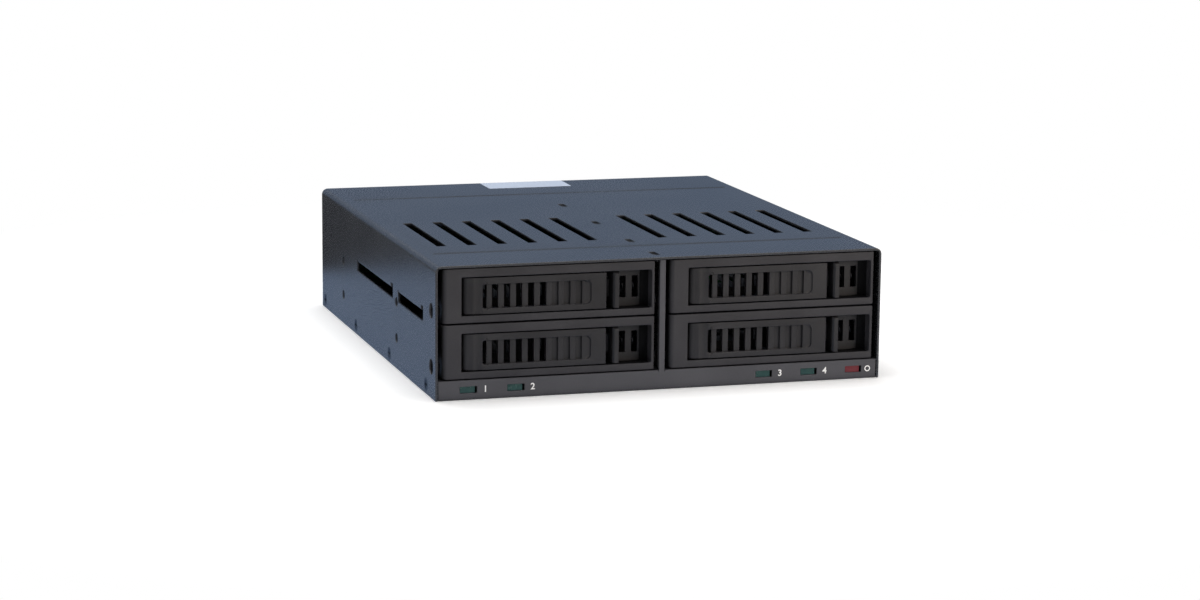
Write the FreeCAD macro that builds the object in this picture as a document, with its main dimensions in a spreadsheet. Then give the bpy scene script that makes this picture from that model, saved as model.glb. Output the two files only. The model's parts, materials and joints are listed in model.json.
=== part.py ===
import FreeCAD, Part
import Sketcher
import math
import os

# Hot swap drive cage: four sliding trays for 2.5 inch drives in one half-height 5.25 inch bay.
# Frame: X to the right across the front, Y into the depth, Z up, millimetres.
# The origin is at the middle of the underside, and the trays open towards -Y.

doc = FreeCAD.newDocument("drive_cage")

# Driving dimensions, one sheet row each.
SIZES = {
    # the drive that a tray takes
    "drive_width": 69.85, "drive_length": 100.45, "drive_hole_setback": 14.0,
    "drive_hole_spacing": 76.6, "drive_hole_height": 3.0, "drive_base_spacing": 61.72,
    "drive_hole_radius": 1.75,
    # running clearances
    "running_gap": 0.3, "tray_gap": 0.5, "snug_gap": 0.1,
    # bent sheet of the cage
    "sheet": 0.8, "bend_radius": 2.0, "rear_inset": 2.0,
    # vent slots and stiffening beads of the top
    "vent_count": 6, "vent_pitch": 10.0, "vent_first": 11.8, "vent_width": 3.1,
    "vent_length": 47.0, "vent_setback": 36.2,
    "bead_width": 2.6, "bead_depth": 0.35, "bead_margin": 5.0,
    "bead_front": 22.6, "bead_rear": 136.5,
    # locating pads of the divider in the top
    "pad_width": 2.2, "pad_length": 6.2, "pad_shift": -0.65, "pad_sink": 0.6,
    "pad_first": 4.4, "pad_second": 29.6, "pad_third": 66.8, "pad_last": 105.8,
    # lanced rails
    "rail_top": 26.0, "rail_height": 3.9, "rail_reach": 3.1, "relief_length": 3.0,
    "relief_rise": 0.9, "front_rail_start": 15.7, "front_rail_end": 49.2,
    "rear_rail_start": 56.5, "rear_rail_end": 109.0,
    # bay mounting holes, side screws and lever catches
    "mount_radius": 1.6, "mount_setback": 51.5, "mount_spacing": 79.25,
    "flange_start": 1.5, "mount_low": 10.0, "mount_rise": 11.84,
    "side_screw_count": 4, "side_screw_setback": 12.3, "side_screw_inset": 2.1,
    "side_screw_height": 2.9, "side_head_radius": 2.2, "side_shank_radius": 1.5,
    "side_shank_length": 2.4, "catch_radius": 2.4, "catch_setback": 5.5, "catch_height": 3.5,
    # base pan
    "flange_height": 6.0, "ear_width": 7.0, "ear_height": 9.2, "ear_margin": 9.2,
    "ear_hole_height": 5.4,
    # front bezel
    "strip_height": 6.1, "bezel_wall": 2.2, "bezel_setback": 0.3, "bar_width": 1.9,
    "bar_groove": 0.8, "lip_wall": 1.1, "lip_depth": 8.0, "cheek_wall": 1.5,
    "lamp_width": 5.5, "lamp_height": 2.1, "lamp_level": 3.1, "lamp_margin": 8.8,
    "lamp_shift": 0.95, "lamp_pitch": 15.15, "lamp_length": 6.0, "lamp_collar": 0.5,
    "lens_gap": 0.65, "lens_sink": 0.3,
    # indicator board and its flat cable
    "board_wall": 1.2, "board_height": 3.6, "board_margin": 4.2, "led_length": 3.2,
    "led_height": 1.6, "led_depth": 0.7, "flex_width": 12.0, "flex_wall": 0.3,
    "flex_place": 24.0, "flex_bend": 3.0,
    # tray front
    "front_inset": 1.225, "front_height": 17.0, "front_depth": 13.4, "tray_setback": 0.7,
    "corner_radius": 1.7, "pocket_left": 6.1, "pocket_right": 0.95, "pocket_low": 2.2,
    "pocket_height": 12.0, "pocket_round": 0.7, "lug_length": 3.6, "lug_low": 5.6, "lug_height": 6.8,
    "sweep_width": 2.65, "sweep_depth": 4.0, "sweep_start": 0.7,
    # lever
    "pivot_place": 8.6, "pivot_depth": 3.0, "pin_radius": 0.75, "pin_play": 0.05,
    "pin_seat": 1.2, "knuckle_radius": 2.3, "lever_face": 0.15, "lever_wall": 2.6,
    "lever_inset": 15.75, "lever_gap": 0.35, "lip_place": 1.2, "hook_depth": 7.9,
    "hook_reach": 0.85, "hook_rise": 1.4, "hook_low": 5.4, "hook_height": 5.6,
    "tooth_length": 9.6, "tooth_offset": 0.7, "tooth_wall": 1.2, "tooth_height": 2.0,
    "window_left": 12.85, "window_inset": 20.6, "window_low": 4.25, "window_height": 7.5,
    "window_radius": 1.6, "window_sink": 0.75, "blind_sink": 0.45, "blind_groove": 0.7,
    "dip_place": 11.0, "dip_depth": 0.35, "dip_radius": 7.0, "rib_lead": 0.75,
    "rib_tail": 1.03,
    "rib_slot": 2.0, "open_slots": 6, "blind_slots": 4,
    # latch
    "latch_far": 13.45, "latch_near": 3.0, "latch_depth": 5.0, "latch_wall": 1.2,
    "latch_tongue": 0.45, "latch_play": 0.15, "latch_travel": 1.8, "bar_thickness": 1.95,
    "bar_face": 0.25, "bar_chamfer": 0.6, "grip_slot": 2.0, "grip_inset": 10.0,
    "grip_pitch": 4.05, "grip_low": 4.9, "grip_height": 6.8, "spring_radius": 1.3,
    "spring_wire": 0.4, "spring_turns": 4, "seat_inset": 9.9, "seat_wall": 1.2,
    "seat_depth": 3.6, "seat_height": 4.2,
    # tray body
    "tray_wall": 0.4, "tray_floor": 2.4, "wall_height": 11.0, "tray_end_gap": 1.5,
    "floor_slot": 2.6, "floor_slot_length": 56.0, "floor_slot_pitch": 5.6,
    "floor_slot_count": 9, "grille_slot": 2.6, "grille_height": 6.6, "grille_pitch": 4.4,
    "grille_count": 13,
    # backplane
    "drive_play": 0.5, "mate_gap": 4.5, "backplane_wall": 1.6, "backplane_margin": 1.0,
    "socket_width": 42.0, "socket_height": 6.2, "socket_depth": 8.4, "socket_shift": 8.0,
    "socket_level": 3.5, "port_width": 16.4, "port_height": 7.2, "port_depth": 8.6,
    "port_place": 16.0, "port_level": 34.2, "port_drop": 9.4, "power_width": 24.6,
    "power_place": 21.5, "power_level": 13.4, "shroud_wall": 1.1,
    "air_slot": 9.0, "air_pitch": 12.0, "air_height": 5.6, "air_low_height": 3.0,
    # fans and rear panel
    "cable_space": 21.6, "fan_size": 40.0, "fan_depth": 20.0, "fan_margin": 1.6,
    "fan_bore": 19.0, "fan_hole_spacing": 32.0, "fan_hole_radius": 1.7, "fan_flange": 3.5,
    "hub_radius": 9.5, "hub_gap": 0.4, "hub_base": 3.2, "shaft_radius": 1.0,
    "shaft_play": 0.05, "blade_count": 7, "blade_tip": 17.2, "blade_wall": 1.5,
    "blade_front": 2.0, "blade_rear": 14.6, "blade_half_tip": 5.0, "blade_half_root": 3.2,
    "strut_width": 2.0, "guard_ring": 1.4, "guard_gap": 3.2, "guard_spoke": 1.6,
    "window_gap": 8.6, "window_margin": 4.2, "panel_flange": 10.0,
    "screw_head_radius": 2.7, "screw_head_height": 1.6,
}


class Size:
    """A number that keeps the sheet formula that gives it."""

    def __init__(self, value, text):
        self.value = value
        self.text = text

    def join(self, other, sign, value):
        return Size(value, "(%s %s %s)" % (self.text, sign, other.text))

    def __add__(self, other):
        other = size(other)
        return self.join(other, "+", self.value + other.value)

    def __sub__(self, other):
        other = size(other)
        return self.join(other, "-", self.value - other.value)

    def __mul__(self, other):
        other = size(other)
        return self.join(other, "*", self.value * other.value)

    def __truediv__(self, other):
        other = size(other)
        return self.join(other, "/", self.value / other.value)

    def __radd__(self, other):
        return size(other) + self

    def __rsub__(self, other):
        return size(other) - self

    def __rmul__(self, other):
        return size(other) * self

    def __neg__(self):
        return size(-1) * self


def size(number):
    return number if isinstance(number, Size) else Size(float(number), "%.9g" % number)


class Sheet:
    """The driving dimensions, as attributes that carry their sheet cells."""

    def __init__(self, table):
        cells = doc.addObject("Spreadsheet::Sheet", "Sizes")
        for row, (alias, number) in enumerate(table.items(), start=1):
            cells.set("A%d" % row, alias)
            cells.set("B%d" % row, "%.9g" % number)
            cells.setAlias("B%d" % row, alias)
            setattr(self, alias, Size(float(number), "Sizes." + alias))


S = Sheet(SIZES)
doc.recompute()

# Sizes that follow from the driving ones.
tray_width = S.drive_width + 2 * S.tray_wall
half_bar = S.bar_width / 2
tray_centre = half_bar + S.running_gap + tray_width / 2
half_inside = tray_centre + tray_width / 2 + S.running_gap
half_width = half_inside + S.sheet
tray_rise = S.front_height + S.tray_gap
low_tray = S.strip_height + S.running_gap
high_tray = low_tray + tray_rise
inside_top = high_tray + S.front_height + S.running_gap
shell_height = inside_top + S.sheet
low_rail = S.rail_top - tray_rise
drive_front = S.front_depth + S.tray_wall + S.drive_play
backplane_face = S.tray_setback + drive_front + S.drive_length + S.mate_gap
backplane_rear = backplane_face + S.backplane_wall
fan_front = backplane_rear + S.cable_space
panel_front = fan_front + S.fan_depth
panel_rear = panel_front + S.sheet
shell_depth = panel_rear + S.rear_inset
fan_level = (S.sheet + inside_top) / 2
fan_place = half_inside - S.fan_margin - S.fan_size / 2
half_window = fan_place - S.fan_size / 2 - S.window_gap
half_front = tray_width / 2 - S.front_inset
strip_rear = S.bezel_setback + S.bezel_wall
AT_FRONT = (0, -shell_depth / 2, 0)


# --- building blocks -------------------------------------------------------------------

PLANE_ROLE = {"XY": "XY_Plane", "XZ": "XZ_Plane", "YZ": "YZ_Plane"}
NORMAL_SIGN = {"XY": 1, "XZ": -1, "YZ": 1}


def box(a_low, a_high, b_low, b_high):
    """A rectangle as a loop of corners."""
    return [(a_low, b_low), (a_high, b_low), (a_high, b_high), (a_low, b_high)]


def disc(a, b, radius):
    return {"centre": (a, b), "radius": radius}


def soft_box(a_low, a_high, b_low, b_high, left, right):
    """A rectangle whose left and right corners may be rounded, as lines and arcs."""
    return {"sides": (a_low, a_high, b_low, b_high), "left": left, "right": right}


class Piece:
    """One sub-part: a PartDesign body made of prisms and turned forms."""

    made = []

    def __init__(self, label, at=AT_FRONT):
        self.body = doc.addObject("PartDesign::Body", label)
        self.body.Label = label
        for axis, value in zip("xyz", at):
            self.body.setExpression("Placement.Base." + axis, size(value).text)
        self.count = 0
        Piece.made.append(self.body)

    def name(self, kind):
        self.count += 1
        return "%s_%s_%d" % (self.body.Name, kind, self.count)

    def origin(self, role):
        return [f for f in self.body.Origin.OriginFeatures if f.Role == role][0]

    def sketch(self, plane, level, loops):
        """A sketch on an origin plane, moved along its axis to level."""
        sketch = self.body.newObject("Sketcher::SketchObject", self.name("sketch"))
        sketch.AttachmentSupport = (self.origin(PLANE_ROLE[plane]), [""])
        sketch.MapMode = "FlatFace"
        offset = NORMAL_SIGN[plane] * size(level)
        sketch.AttachmentOffset = FreeCAD.Placement(
            FreeCAD.Vector(0, 0, offset.value), FreeCAD.Rotation())
        sketch.setExpression("AttachmentOffset.Base.z", offset.text)
        for loop in loops:
            if isinstance(loop, dict) and "radius" in loop:
                self.draw_disc(sketch, loop)
            elif isinstance(loop, dict):
                self.draw_soft_box(sketch, loop)
            else:
                self.draw_corners(sketch, loop)
        return sketch

    def pin(self, sketch, element, vertex, point):
        """Hold one vertex at a place given by two sizes."""
        for kind, value in zip(("DistanceX", "DistanceY"), point):
            value = size(value)
            index = sketch.addConstraint(
                Sketcher.Constraint(kind, -1, 1, element, vertex, value.value))
            sketch.setExpression("Constraints[%d]" % index, value.text)

    def draw_corners(self, sketch, corners):
        spots = [FreeCAD.Vector(size(a).value, size(b).value, 0) for a, b in corners]
        following = spots[1:] + spots[:1]
        sides = sketch.addGeometry(
            [Part.LineSegment(p, q) for p, q in zip(spots, following)], False)
        for here, there in zip(sides, sides[1:] + sides[:1]):
            sketch.addConstraint(Sketcher.Constraint("Coincident", here, 2, there, 1))
        for side, corner in zip(sides, corners):
            self.pin(sketch, side, 1, corner)

    def draw_disc(self, sketch, loop):
        a, b = (size(value) for value in loop["centre"])
        radius = size(loop["radius"])
        middle = FreeCAD.Vector(a.value, b.value, 0)
        ring = sketch.addGeometry(
            Part.Circle(middle, FreeCAD.Vector(0, 0, 1), radius.value), False)
        self.pin(sketch, ring, 3, (a, b))
        index = sketch.addConstraint(Sketcher.Constraint("Radius", ring, radius.value))
        sketch.setExpression("Constraints[%d]" % index, radius.text)

    def draw_soft_box(self, sketch, loop):
        a_low, a_high, b_low, b_high = (size(value) for value in loop["sides"])
        radii = [loop["left"], loop["right"], loop["right"], loop["left"]]
        corners = [(a_low, b_low), (a_high, b_low), (a_high, b_high), (a_low, b_high)]
        inward = [(1, 1), (-1, 1), (-1, -1), (1, -1)]
        along = [(0, 1), (1, 0), (0, 1), (1, 0)]    # which way a corner is entered
        points, arcs = [], {}
        for corner, radius, sign, enter in zip(corners, radii, inward, along):
            if radius is None:
                points.append(corner)
                continue
            radius = size(radius)
            centre = tuple(c + s * radius for c, s in zip(corner, sign))
            leave = (1 - enter[0], 1 - enter[1])
            first = tuple(c + s * e * radius for c, s, e in zip(corner, sign, enter))
            last = tuple(c + s * e * radius for c, s, e in zip(corner, sign, leave))
            arcs[len(points)] = (centre, radius, math.atan2(-sign[1], -sign[0]))
            points += [first, last]
        elements = []
        for index, start in enumerate(points):
            end = points[(index + 1) % len(points)]
            if index in arcs:
                centre, radius, middle = arcs[index]
                circle = Part.Circle(FreeCAD.Vector(centre[0].value, centre[1].value, 0),
                                     FreeCAD.Vector(0, 0, 1), radius.value)
                curve = Part.ArcOfCircle(circle, middle - math.pi / 4, middle + math.pi / 4)
            else:
                curve = Part.LineSegment(FreeCAD.Vector(start[0].value, start[1].value, 0),
                                         FreeCAD.Vector(end[0].value, end[1].value, 0))
            elements.append(sketch.addGeometry(curve, False))
        for index, element in enumerate(elements):
            following = elements[(index + 1) % len(elements)]
            sketch.addConstraint(Sketcher.Constraint("Coincident", element, 2, following, 1))
            self.pin(sketch, element, 1, points[index])
            if index in arcs:
                centre = arcs[index][0]
                place = sketch.addConstraint(Sketcher.Constraint(
                    "DistanceX", -1, 1, element, 3, centre[0].value))
                sketch.setExpression("Constraints[%d]" % place, centre[0].text)

    def prism(self, kind, plane, low, high, loops):
        low, high = size(low), size(high)
        sketch = self.sketch(plane, low, loops)
        feature = self.body.newObject("PartDesign::" + kind, self.name(kind.lower()))
        feature.Profile = sketch
        feature.Length = (high - low).value
        feature.setExpression("Length", (high - low).text)
        forward = NORMAL_SIGN[plane] > 0
        feature.Reversed = forward if kind == "Pocket" else not forward
        return feature

    def add(self, plane, low, high, *loops):
        """Material from low to high along the plane's axis."""
        return self.prism("Pad", plane, low, high, loops)

    def cut(self, plane, low, high, *loops):
        return self.prism("Pocket", plane, low, high, loops)

    def turn(self, axis, centre, profile):
        """A turned form about an axis parallel to X or Y; profile is (along, radius)."""
        a, level = centre
        if axis == "X":
            line = [(along, a + radius) for along, radius in profile]
        else:
            line = [(a + radius, along) for along, radius in profile]
        sketch = self.sketch("XY", level, [line])
        spots = {"X": [(0, a), (1, a)], "Y": [(a, 0), (a, 1)]}[axis]
        ends = [FreeCAD.Vector(size(p).value, size(q).value, 0) for p, q in spots]
        guide = sketch.addGeometry(Part.LineSegment(*ends), True)
        self.pin(sketch, guide, 1, spots[0])
        self.pin(sketch, guide, 2, spots[1])
        feature = self.body.newObject("PartDesign::Revolution", self.name("turned"))
        feature.Profile = sketch
        feature.ReferenceAxis = (sketch, ["Axis0"])
        feature.Angle = 360
        return feature

    def row(self, feature, axis, pitch, count):
        """Repeat one feature in a straight row."""
        pattern = self.body.newObject("PartDesign::LinearPattern", self.name("row"))
        pattern.Originals = [feature]
        pattern.Direction = (self.origin(axis + "_Axis"), [""])
        pattern.setExpression("Length", (pitch * (count - 1)).text)
        pattern.setExpression("Occurrences", count.text)
        self.body.Tip = pattern
        return pattern

    def ring(self, feature, count):
        """Repeat one feature around the body's Y axis."""
        pattern = self.body.newObject("PartDesign::PolarPattern", self.name("ring"))
        pattern.Originals = [feature]
        pattern.Axis = (self.origin("Y_Axis"), [""])
        pattern.Angle = 360
        pattern.setExpression("Occurrences", count.text)
        self.body.Tip = pattern
        return pattern

    def dress(self, kind, amount, test):
        """Fillet or chamfer the edges that test picks by their ends and middle."""
        doc.recompute()
        base = self.body.Tip
        amount = size(amount)
        names = ["Edge%d" % number for number, edge in enumerate(base.Shape.Edges, start=1)
                 if test(edge)]
        feature = self.body.newObject("PartDesign::" + kind, self.name(kind.lower()))
        feature.Base = (base, names)
        target = "Radius" if kind == "Fillet" else "Size"
        setattr(feature, target, amount.value)
        feature.setExpression(target, amount.text)
        return feature


def near(number, *targets):
    return any(abs(number - size(target).value) < 0.01 for target in targets)


def runs_along(edge, axis):
    """True for a straight edge parallel to one axis."""
    if len(edge.Vertexes) != 2 or edge.Curve.TypeId != "Part::GeomLine":
        return False
    step = edge.Vertexes[1].Point - edge.Vertexes[0].Point
    return abs(abs(step[axis]) - edge.Length) < 0.001


def middle_of(edge):
    return edge.BoundBox.Center


# --- cage: bent sheet ------------------------------------------------------------------

def rail_spans():
    """The lanced rails along the depth: slot start, tab start, tab end."""
    return [(S.front_rail_start, S.front_rail_start + S.relief_length, S.front_rail_end),
            (S.rear_rail_start, S.rear_rail_start + S.relief_length, S.rear_rail_end)]


def rail_slot(start, tab_start, end, top):
    """The window that a rail is lanced from, with its relief notch at the front."""
    low, notch = top - S.rail_height, top + S.relief_rise
    return [(start, low), (end, low), (end, top), (tab_start, top), (tab_start, notch),
            (start, notch)]


def mount_holes():
    """The four bay mounting holes of one side, as (y, z)."""
    return [(S.mount_setback + step * S.mount_spacing, S.mount_low + rise * S.mount_rise)
            for step in (0, 1) for rise in (0, 1)]


def side_screws():
    """The screws that hold the shell to the base pan, as (y, z)."""
    last = panel_front - S.side_screw_inset
    pitch = (last - S.side_screw_setback) / (S.side_screw_count - 1)
    return [(S.side_screw_setback + step * pitch, S.side_screw_height)
            for step in range(int(S.side_screw_count.value))]


def pad_starts():
    """The front ends of the four locating pads, along the depth."""
    return [S.pad_first, S.pad_second, S.pad_third, S.pad_last]


def pad_span():
    return S.pad_shift - S.pad_width / 2, S.pad_shift + S.pad_width / 2


def outer_shell():
    piece = Piece("outer_shell")
    piece.add("XZ", 0, shell_depth, [
        (-half_width, 0), (-half_width, shell_height), (half_width, shell_height),
        (half_width, 0), (half_inside, 0), (half_inside, inside_top),
        (-half_inside, inside_top), (-half_inside, 0)])
    piece.dress("Fillet", S.bend_radius, lambda edge: runs_along(edge, 1)
                and near(abs(middle_of(edge).x), half_width)
                and near(middle_of(edge).z, shell_height))
    piece.dress("Fillet", S.bend_radius - S.sheet, lambda edge: runs_along(edge, 1)
                and near(abs(middle_of(edge).x), half_inside)
                and near(middle_of(edge).z, inside_top))
    last = S.vent_first + S.vent_pitch * (S.vent_count - 1)
    for first in (-last, S.vent_first):
        slot = piece.cut("XY", inside_top - S.sheet, shell_height + S.sheet, box(
            first - S.vent_width / 2, first + S.vent_width / 2,
            S.vent_setback, S.vent_setback + S.vent_length))
        piece.row(slot, "X", S.vent_pitch, S.vent_count)
    for place in (S.bead_front, S.bead_rear):
        reach = half_width - S.bead_margin
        ridge = [(place - S.bead_width / 2, 0), (place - S.bead_width / 5, -S.bead_depth),
                 (place + S.bead_width / 5, -S.bead_depth), (place + S.bead_width / 2, 0)]
        piece.add("YZ", -reach, reach, [(y, inside_top + z) for y, z in ridge])
        piece.cut("YZ", -reach, reach, [(y, shell_height + z) for y, z in ridge])
    left, right = pad_span()
    piece.cut("XY", inside_top - S.sheet, shell_height + S.sheet,
              *[box(left, right, start, start + S.pad_length) for start in pad_starts()])
    through = (-half_width - S.sheet, half_width + S.sheet)
    piece.cut("YZ", *through, *[disc(y, z, S.mount_radius) for y, z in mount_holes()])
    piece.cut("YZ", through[0], 0, *[
        disc(S.catch_setback, level + S.catch_height, S.catch_radius)
        for level in (low_tray, high_tray)])
    piece.cut("YZ", *through, *[disc(y, z, S.side_shank_radius) for y, z in side_screws()])
    piece.dress("Chamfer", S.side_head_radius - S.side_shank_radius, lambda edge:
                near(edge.Length, 2 * math.pi * S.side_shank_radius)
                and near(abs(middle_of(edge).x), half_width))
    piece.cut("YZ", *through, *[rail_slot(*span, S.rail_top) for span in rail_spans()])
    for _, start, end in rail_spans():
        for side in (-1, 1):
            inner, outer = side * (half_inside - S.rail_reach), side * half_width
            piece.add("XZ", start, end, box(*sorted((inner, outer), key=lambda s: s.value),
                                            S.rail_top - S.sheet, S.rail_top))
    piece.dress("Fillet", S.sheet * 0.9, lambda edge: runs_along(edge, 1)
                and near(abs(middle_of(edge).x), half_width)
                and near(middle_of(edge).z, S.rail_top - S.sheet))


def base_pan():
    piece = Piece("base_pan")
    inner = half_inside - S.sheet
    piece.add("XZ", strip_rear, panel_front, [
        (-half_inside, 0), (-half_inside, S.flange_height), (-inner, S.flange_height),
        (-inner, S.sheet), (inner, S.sheet), (inner, S.flange_height),
        (half_inside, S.flange_height), (half_inside, 0)])
    for _, start, end in rail_spans():
        for side in (-1, 1):
            lip = [(side * half_inside, S.flange_height - S.sheet),
                   (side * half_inside, low_rail),
                   (side * (half_inside - S.rail_reach), low_rail),
                   (side * (half_inside - S.rail_reach), low_rail - S.sheet),
                   (side * inner, low_rail - S.sheet),
                   (side * inner, S.flange_height - S.sheet)]
            piece.add("XZ", start, end, lip)
    for side in (-1, 1):
        middle = side * (half_inside - S.ear_margin)
        piece.add("XZ", backplane_face - S.sheet, backplane_face, box(
            middle - S.ear_width / 2, middle + S.ear_width / 2, S.sheet / 2, S.ear_height))
    piece.cut("XZ", backplane_face - 2 * S.sheet, backplane_face + S.sheet,
              *[disc(side * (half_inside - S.ear_margin), S.ear_hole_height,
                     S.side_shank_radius) for side in (-1, 1)])
    piece.cut("YZ", -half_width, half_width,
              *[disc(y, z, S.side_shank_radius) for y, z in side_screws()])
    piece.dress("Fillet", S.sheet, lambda edge: runs_along(edge, 1)
                and near(abs(middle_of(edge).x), half_inside)
                and near(middle_of(edge).z, 0))


def divider_tabs():
    """Rail tabs of the divider, lanced to the left and the right by turns."""
    first, last = rail_spans()[0][1], S.rear_rail_end
    pitch = (last - first) / 4
    return [(first + step * pitch, first + (step + 1) * pitch - S.relief_length,
             -1 if step % 2 == 0 else 1) for step in range(4)]


def divider_ears():
    """The two rear ears that carry the backplane: side, low, high, hole x, hole z."""
    reach = S.ear_width + S.sheet
    return [(-1, S.flange_height, S.flange_height + S.ear_width, -reach / 2,
             S.flange_height + S.ear_width / 2),
            (1, high_tray - S.ear_width, high_tray, reach / 2, high_tray - S.ear_width / 2)]


def centre_divider():
    piece = Piece("centre_divider")
    half = S.sheet / 2
    front = strip_rear - S.bar_groove + S.snug_gap
    piece.add("YZ", -half, half, [
        (front, S.strip_height), (strip_rear + S.lip_depth, S.strip_height),
        (strip_rear + S.lip_depth, S.sheet), (backplane_face, S.sheet),
        (backplane_face, inside_top), (front, inside_top)])
    piece.add("XY", S.sheet, 2 * S.sheet, box(
        -half, S.rail_reach + half, strip_rear + S.lip_depth, backplane_face))
    left, right = pad_span()
    piece.add("XY", inside_top - S.sheet, inside_top, box(
        left, half, S.flange_start + S.snug_gap, S.rear_rail_end + S.ear_width))
    reach = S.bead_width / 2 + S.snug_gap
    piece.cut("XY", inside_top - S.bead_depth - S.snug_gap, inside_top + S.sheet,
              box(left - S.sheet, S.sheet, S.bead_front - reach, S.bead_front + reach))
    piece.add("XY", inside_top, shell_height - S.pad_sink, *[
        box(left + S.snug_gap, right - S.snug_gap, start + S.snug_gap,
            start + S.pad_length - S.snug_gap) for start in pad_starts()])
    for top in (low_rail, S.rail_top):
        piece.cut("YZ", -S.sheet, S.sheet, *[
            box(start, end, top - S.rail_height, top) for start, end, _ in divider_tabs()])
        for start, end, side in divider_tabs():
            ends = sorted((-side * half, side * (half + S.rail_reach)), key=lambda s: s.value)
            piece.add("XZ", start, end, box(*ends, top - S.sheet, top))
    piece.cut("YZ", -S.sheet, S.sheet, *[
        disc(S.catch_setback, level + S.catch_height, S.catch_radius)
        for level in (low_tray, high_tray)])
    for side, low, high, place, level in divider_ears():
        ends = sorted((-side * half, side * (half + S.ear_width)), key=lambda s: s.value)
        piece.add("XZ", backplane_face - S.sheet, backplane_face, box(*ends, low, high))
        piece.cut("XZ", backplane_face - 2 * S.sheet, backplane_face + S.sheet,
                  disc(place, level, S.side_shank_radius))


def guard_circles():
    """Radii of the open rings of a punched fan guard, outside in."""
    step = S.guard_ring + S.guard_gap
    return [(S.fan_bore - index * step, S.fan_bore - index * step - S.guard_gap)
            for index in range(3)]


def fan_corners(x, z):
    half = S.fan_hole_spacing / 2
    return [(x + i * half, z + k * half) for i in (-1, 1) for k in (-1, 1)]


def rear_panel():
    piece = Piece("rear_panel")
    side = half_inside - S.snug_gap
    piece.add("XZ", panel_front, panel_rear, box(-side, side, 0, inside_top - S.snug_gap))
    piece.dress("Fillet", S.bend_radius, lambda edge: runs_along(edge, 1)
                and near(middle_of(edge).z, inside_top - S.snug_gap))
    piece.add("XY", S.sheet, 2 * S.sheet,
              box(-half_window, half_window, panel_front - S.panel_flange, panel_front))
    through = (panel_front - S.sheet, panel_rear + S.sheet)
    piece.cut("XZ", *through, soft_box(
        -half_window, half_window, S.window_margin,
        inside_top - S.window_margin, S.bend_radius, S.bend_radius))
    for x in (-fan_place, fan_place):
        for outer, inner in guard_circles():
            piece.cut("XZ", *through, disc(x, fan_level, outer), disc(x, fan_level, inner))
        reach, thick = S.fan_bore * 0.7071, S.guard_spoke * 0.35355
        for lean in (-1, 1):
            piece.add("XZ", panel_front, panel_rear, [
                (x - reach - thick, fan_level - lean * (reach - thick)),
                (x - reach + thick, fan_level - lean * (reach + thick)),
                (x + reach + thick, fan_level + lean * (reach - thick)),
                (x + reach - thick, fan_level + lean * (reach + thick))])
        piece.cut("XZ", *through, *[disc(a, b, S.fan_hole_radius)
                                    for a, b in fan_corners(x, fan_level)])


# --- cage: bezel and indicators --------------------------------------------------------

def lamps():
    """The lamp centres across the strip: four drive lamps, then the alarm lamp."""
    reach = half_inside - S.lamp_margin
    first, last = S.lamp_shift - reach, S.lamp_shift + reach
    drive = [first, first + S.lamp_pitch, last - 2 * S.lamp_pitch, last - S.lamp_pitch]
    return drive, last


def lamp_box(x, margin):
    return box(x - S.lamp_width / 2 - margin, x + S.lamp_width / 2 + margin,
               S.lamp_level - S.lamp_height / 2 - margin,
               S.lamp_level + S.lamp_height / 2 + margin)


def front_bezel():
    piece = Piece("front_bezel")
    side = half_inside - S.snug_gap
    inner = half_inside - S.sheet - S.snug_gap
    piece.add("XZ", S.bezel_setback, strip_rear, [
        (-side, 0), (side, 0), (side, S.strip_height), (half_bar, S.strip_height),
        (half_bar, inside_top - S.snug_gap), (-half_bar, inside_top - S.snug_gap),
        (-half_bar, S.strip_height), (-side, S.strip_height)])
    piece.add("XZ", strip_rear, strip_rear + S.lip_depth - S.running_gap,
              box(-inner, inner, S.strip_height - S.lip_wall, S.strip_height - S.snug_gap))
    for end in (-1, 1):
        cheek = sorted((end * inner, end * (inner - S.cheek_wall)), key=lambda s: s.value)
        piece.add("XZ", strip_rear, strip_rear + S.lip_depth - S.running_gap,
                  box(*cheek, S.sheet, S.strip_height - S.lip_wall))
    groove = S.sheet / 2 + S.snug_gap / 2
    piece.cut("XZ", strip_rear - S.bar_groove, strip_rear + S.sheet,
              box(-groove, groove, S.strip_height - S.snug_gap, inside_top))
    piece.cut("XZ", S.flange_start, strip_rear + S.sheet,
              box(-half_bar, half_bar, inside_top - S.sheet - S.snug_gap, inside_top))
    drive, alarm = lamps()
    piece.cut("XZ", 0, strip_rear + S.sheet, *[lamp_box(x, 0) for x in drive + [alarm]])
    piece.dress("Fillet", S.bezel_setback, lambda edge: runs_along(edge, 0)
                and near(middle_of(edge).y, S.bezel_setback)
                and near(middle_of(edge).z, S.strip_height))


def light_pipes(label, places):
    """Lamp lenses, a little behind the strip and against the left end of their windows."""
    piece = Piece(label)
    half = S.lamp_height / 2 - S.snug_gap / 2
    piece.add("XZ", S.bezel_setback + S.lens_sink, S.bezel_setback + S.lamp_length, *[
        box(x - S.lamp_width / 2 + S.snug_gap / 2, x + S.lamp_width / 2 - S.lens_gap,
            S.lamp_level - half, S.lamp_level + half) for x in places])
    for x in places:
        piece.add("XZ", strip_rear, strip_rear + S.lip_wall, lamp_box(x, S.lamp_collar))


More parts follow.
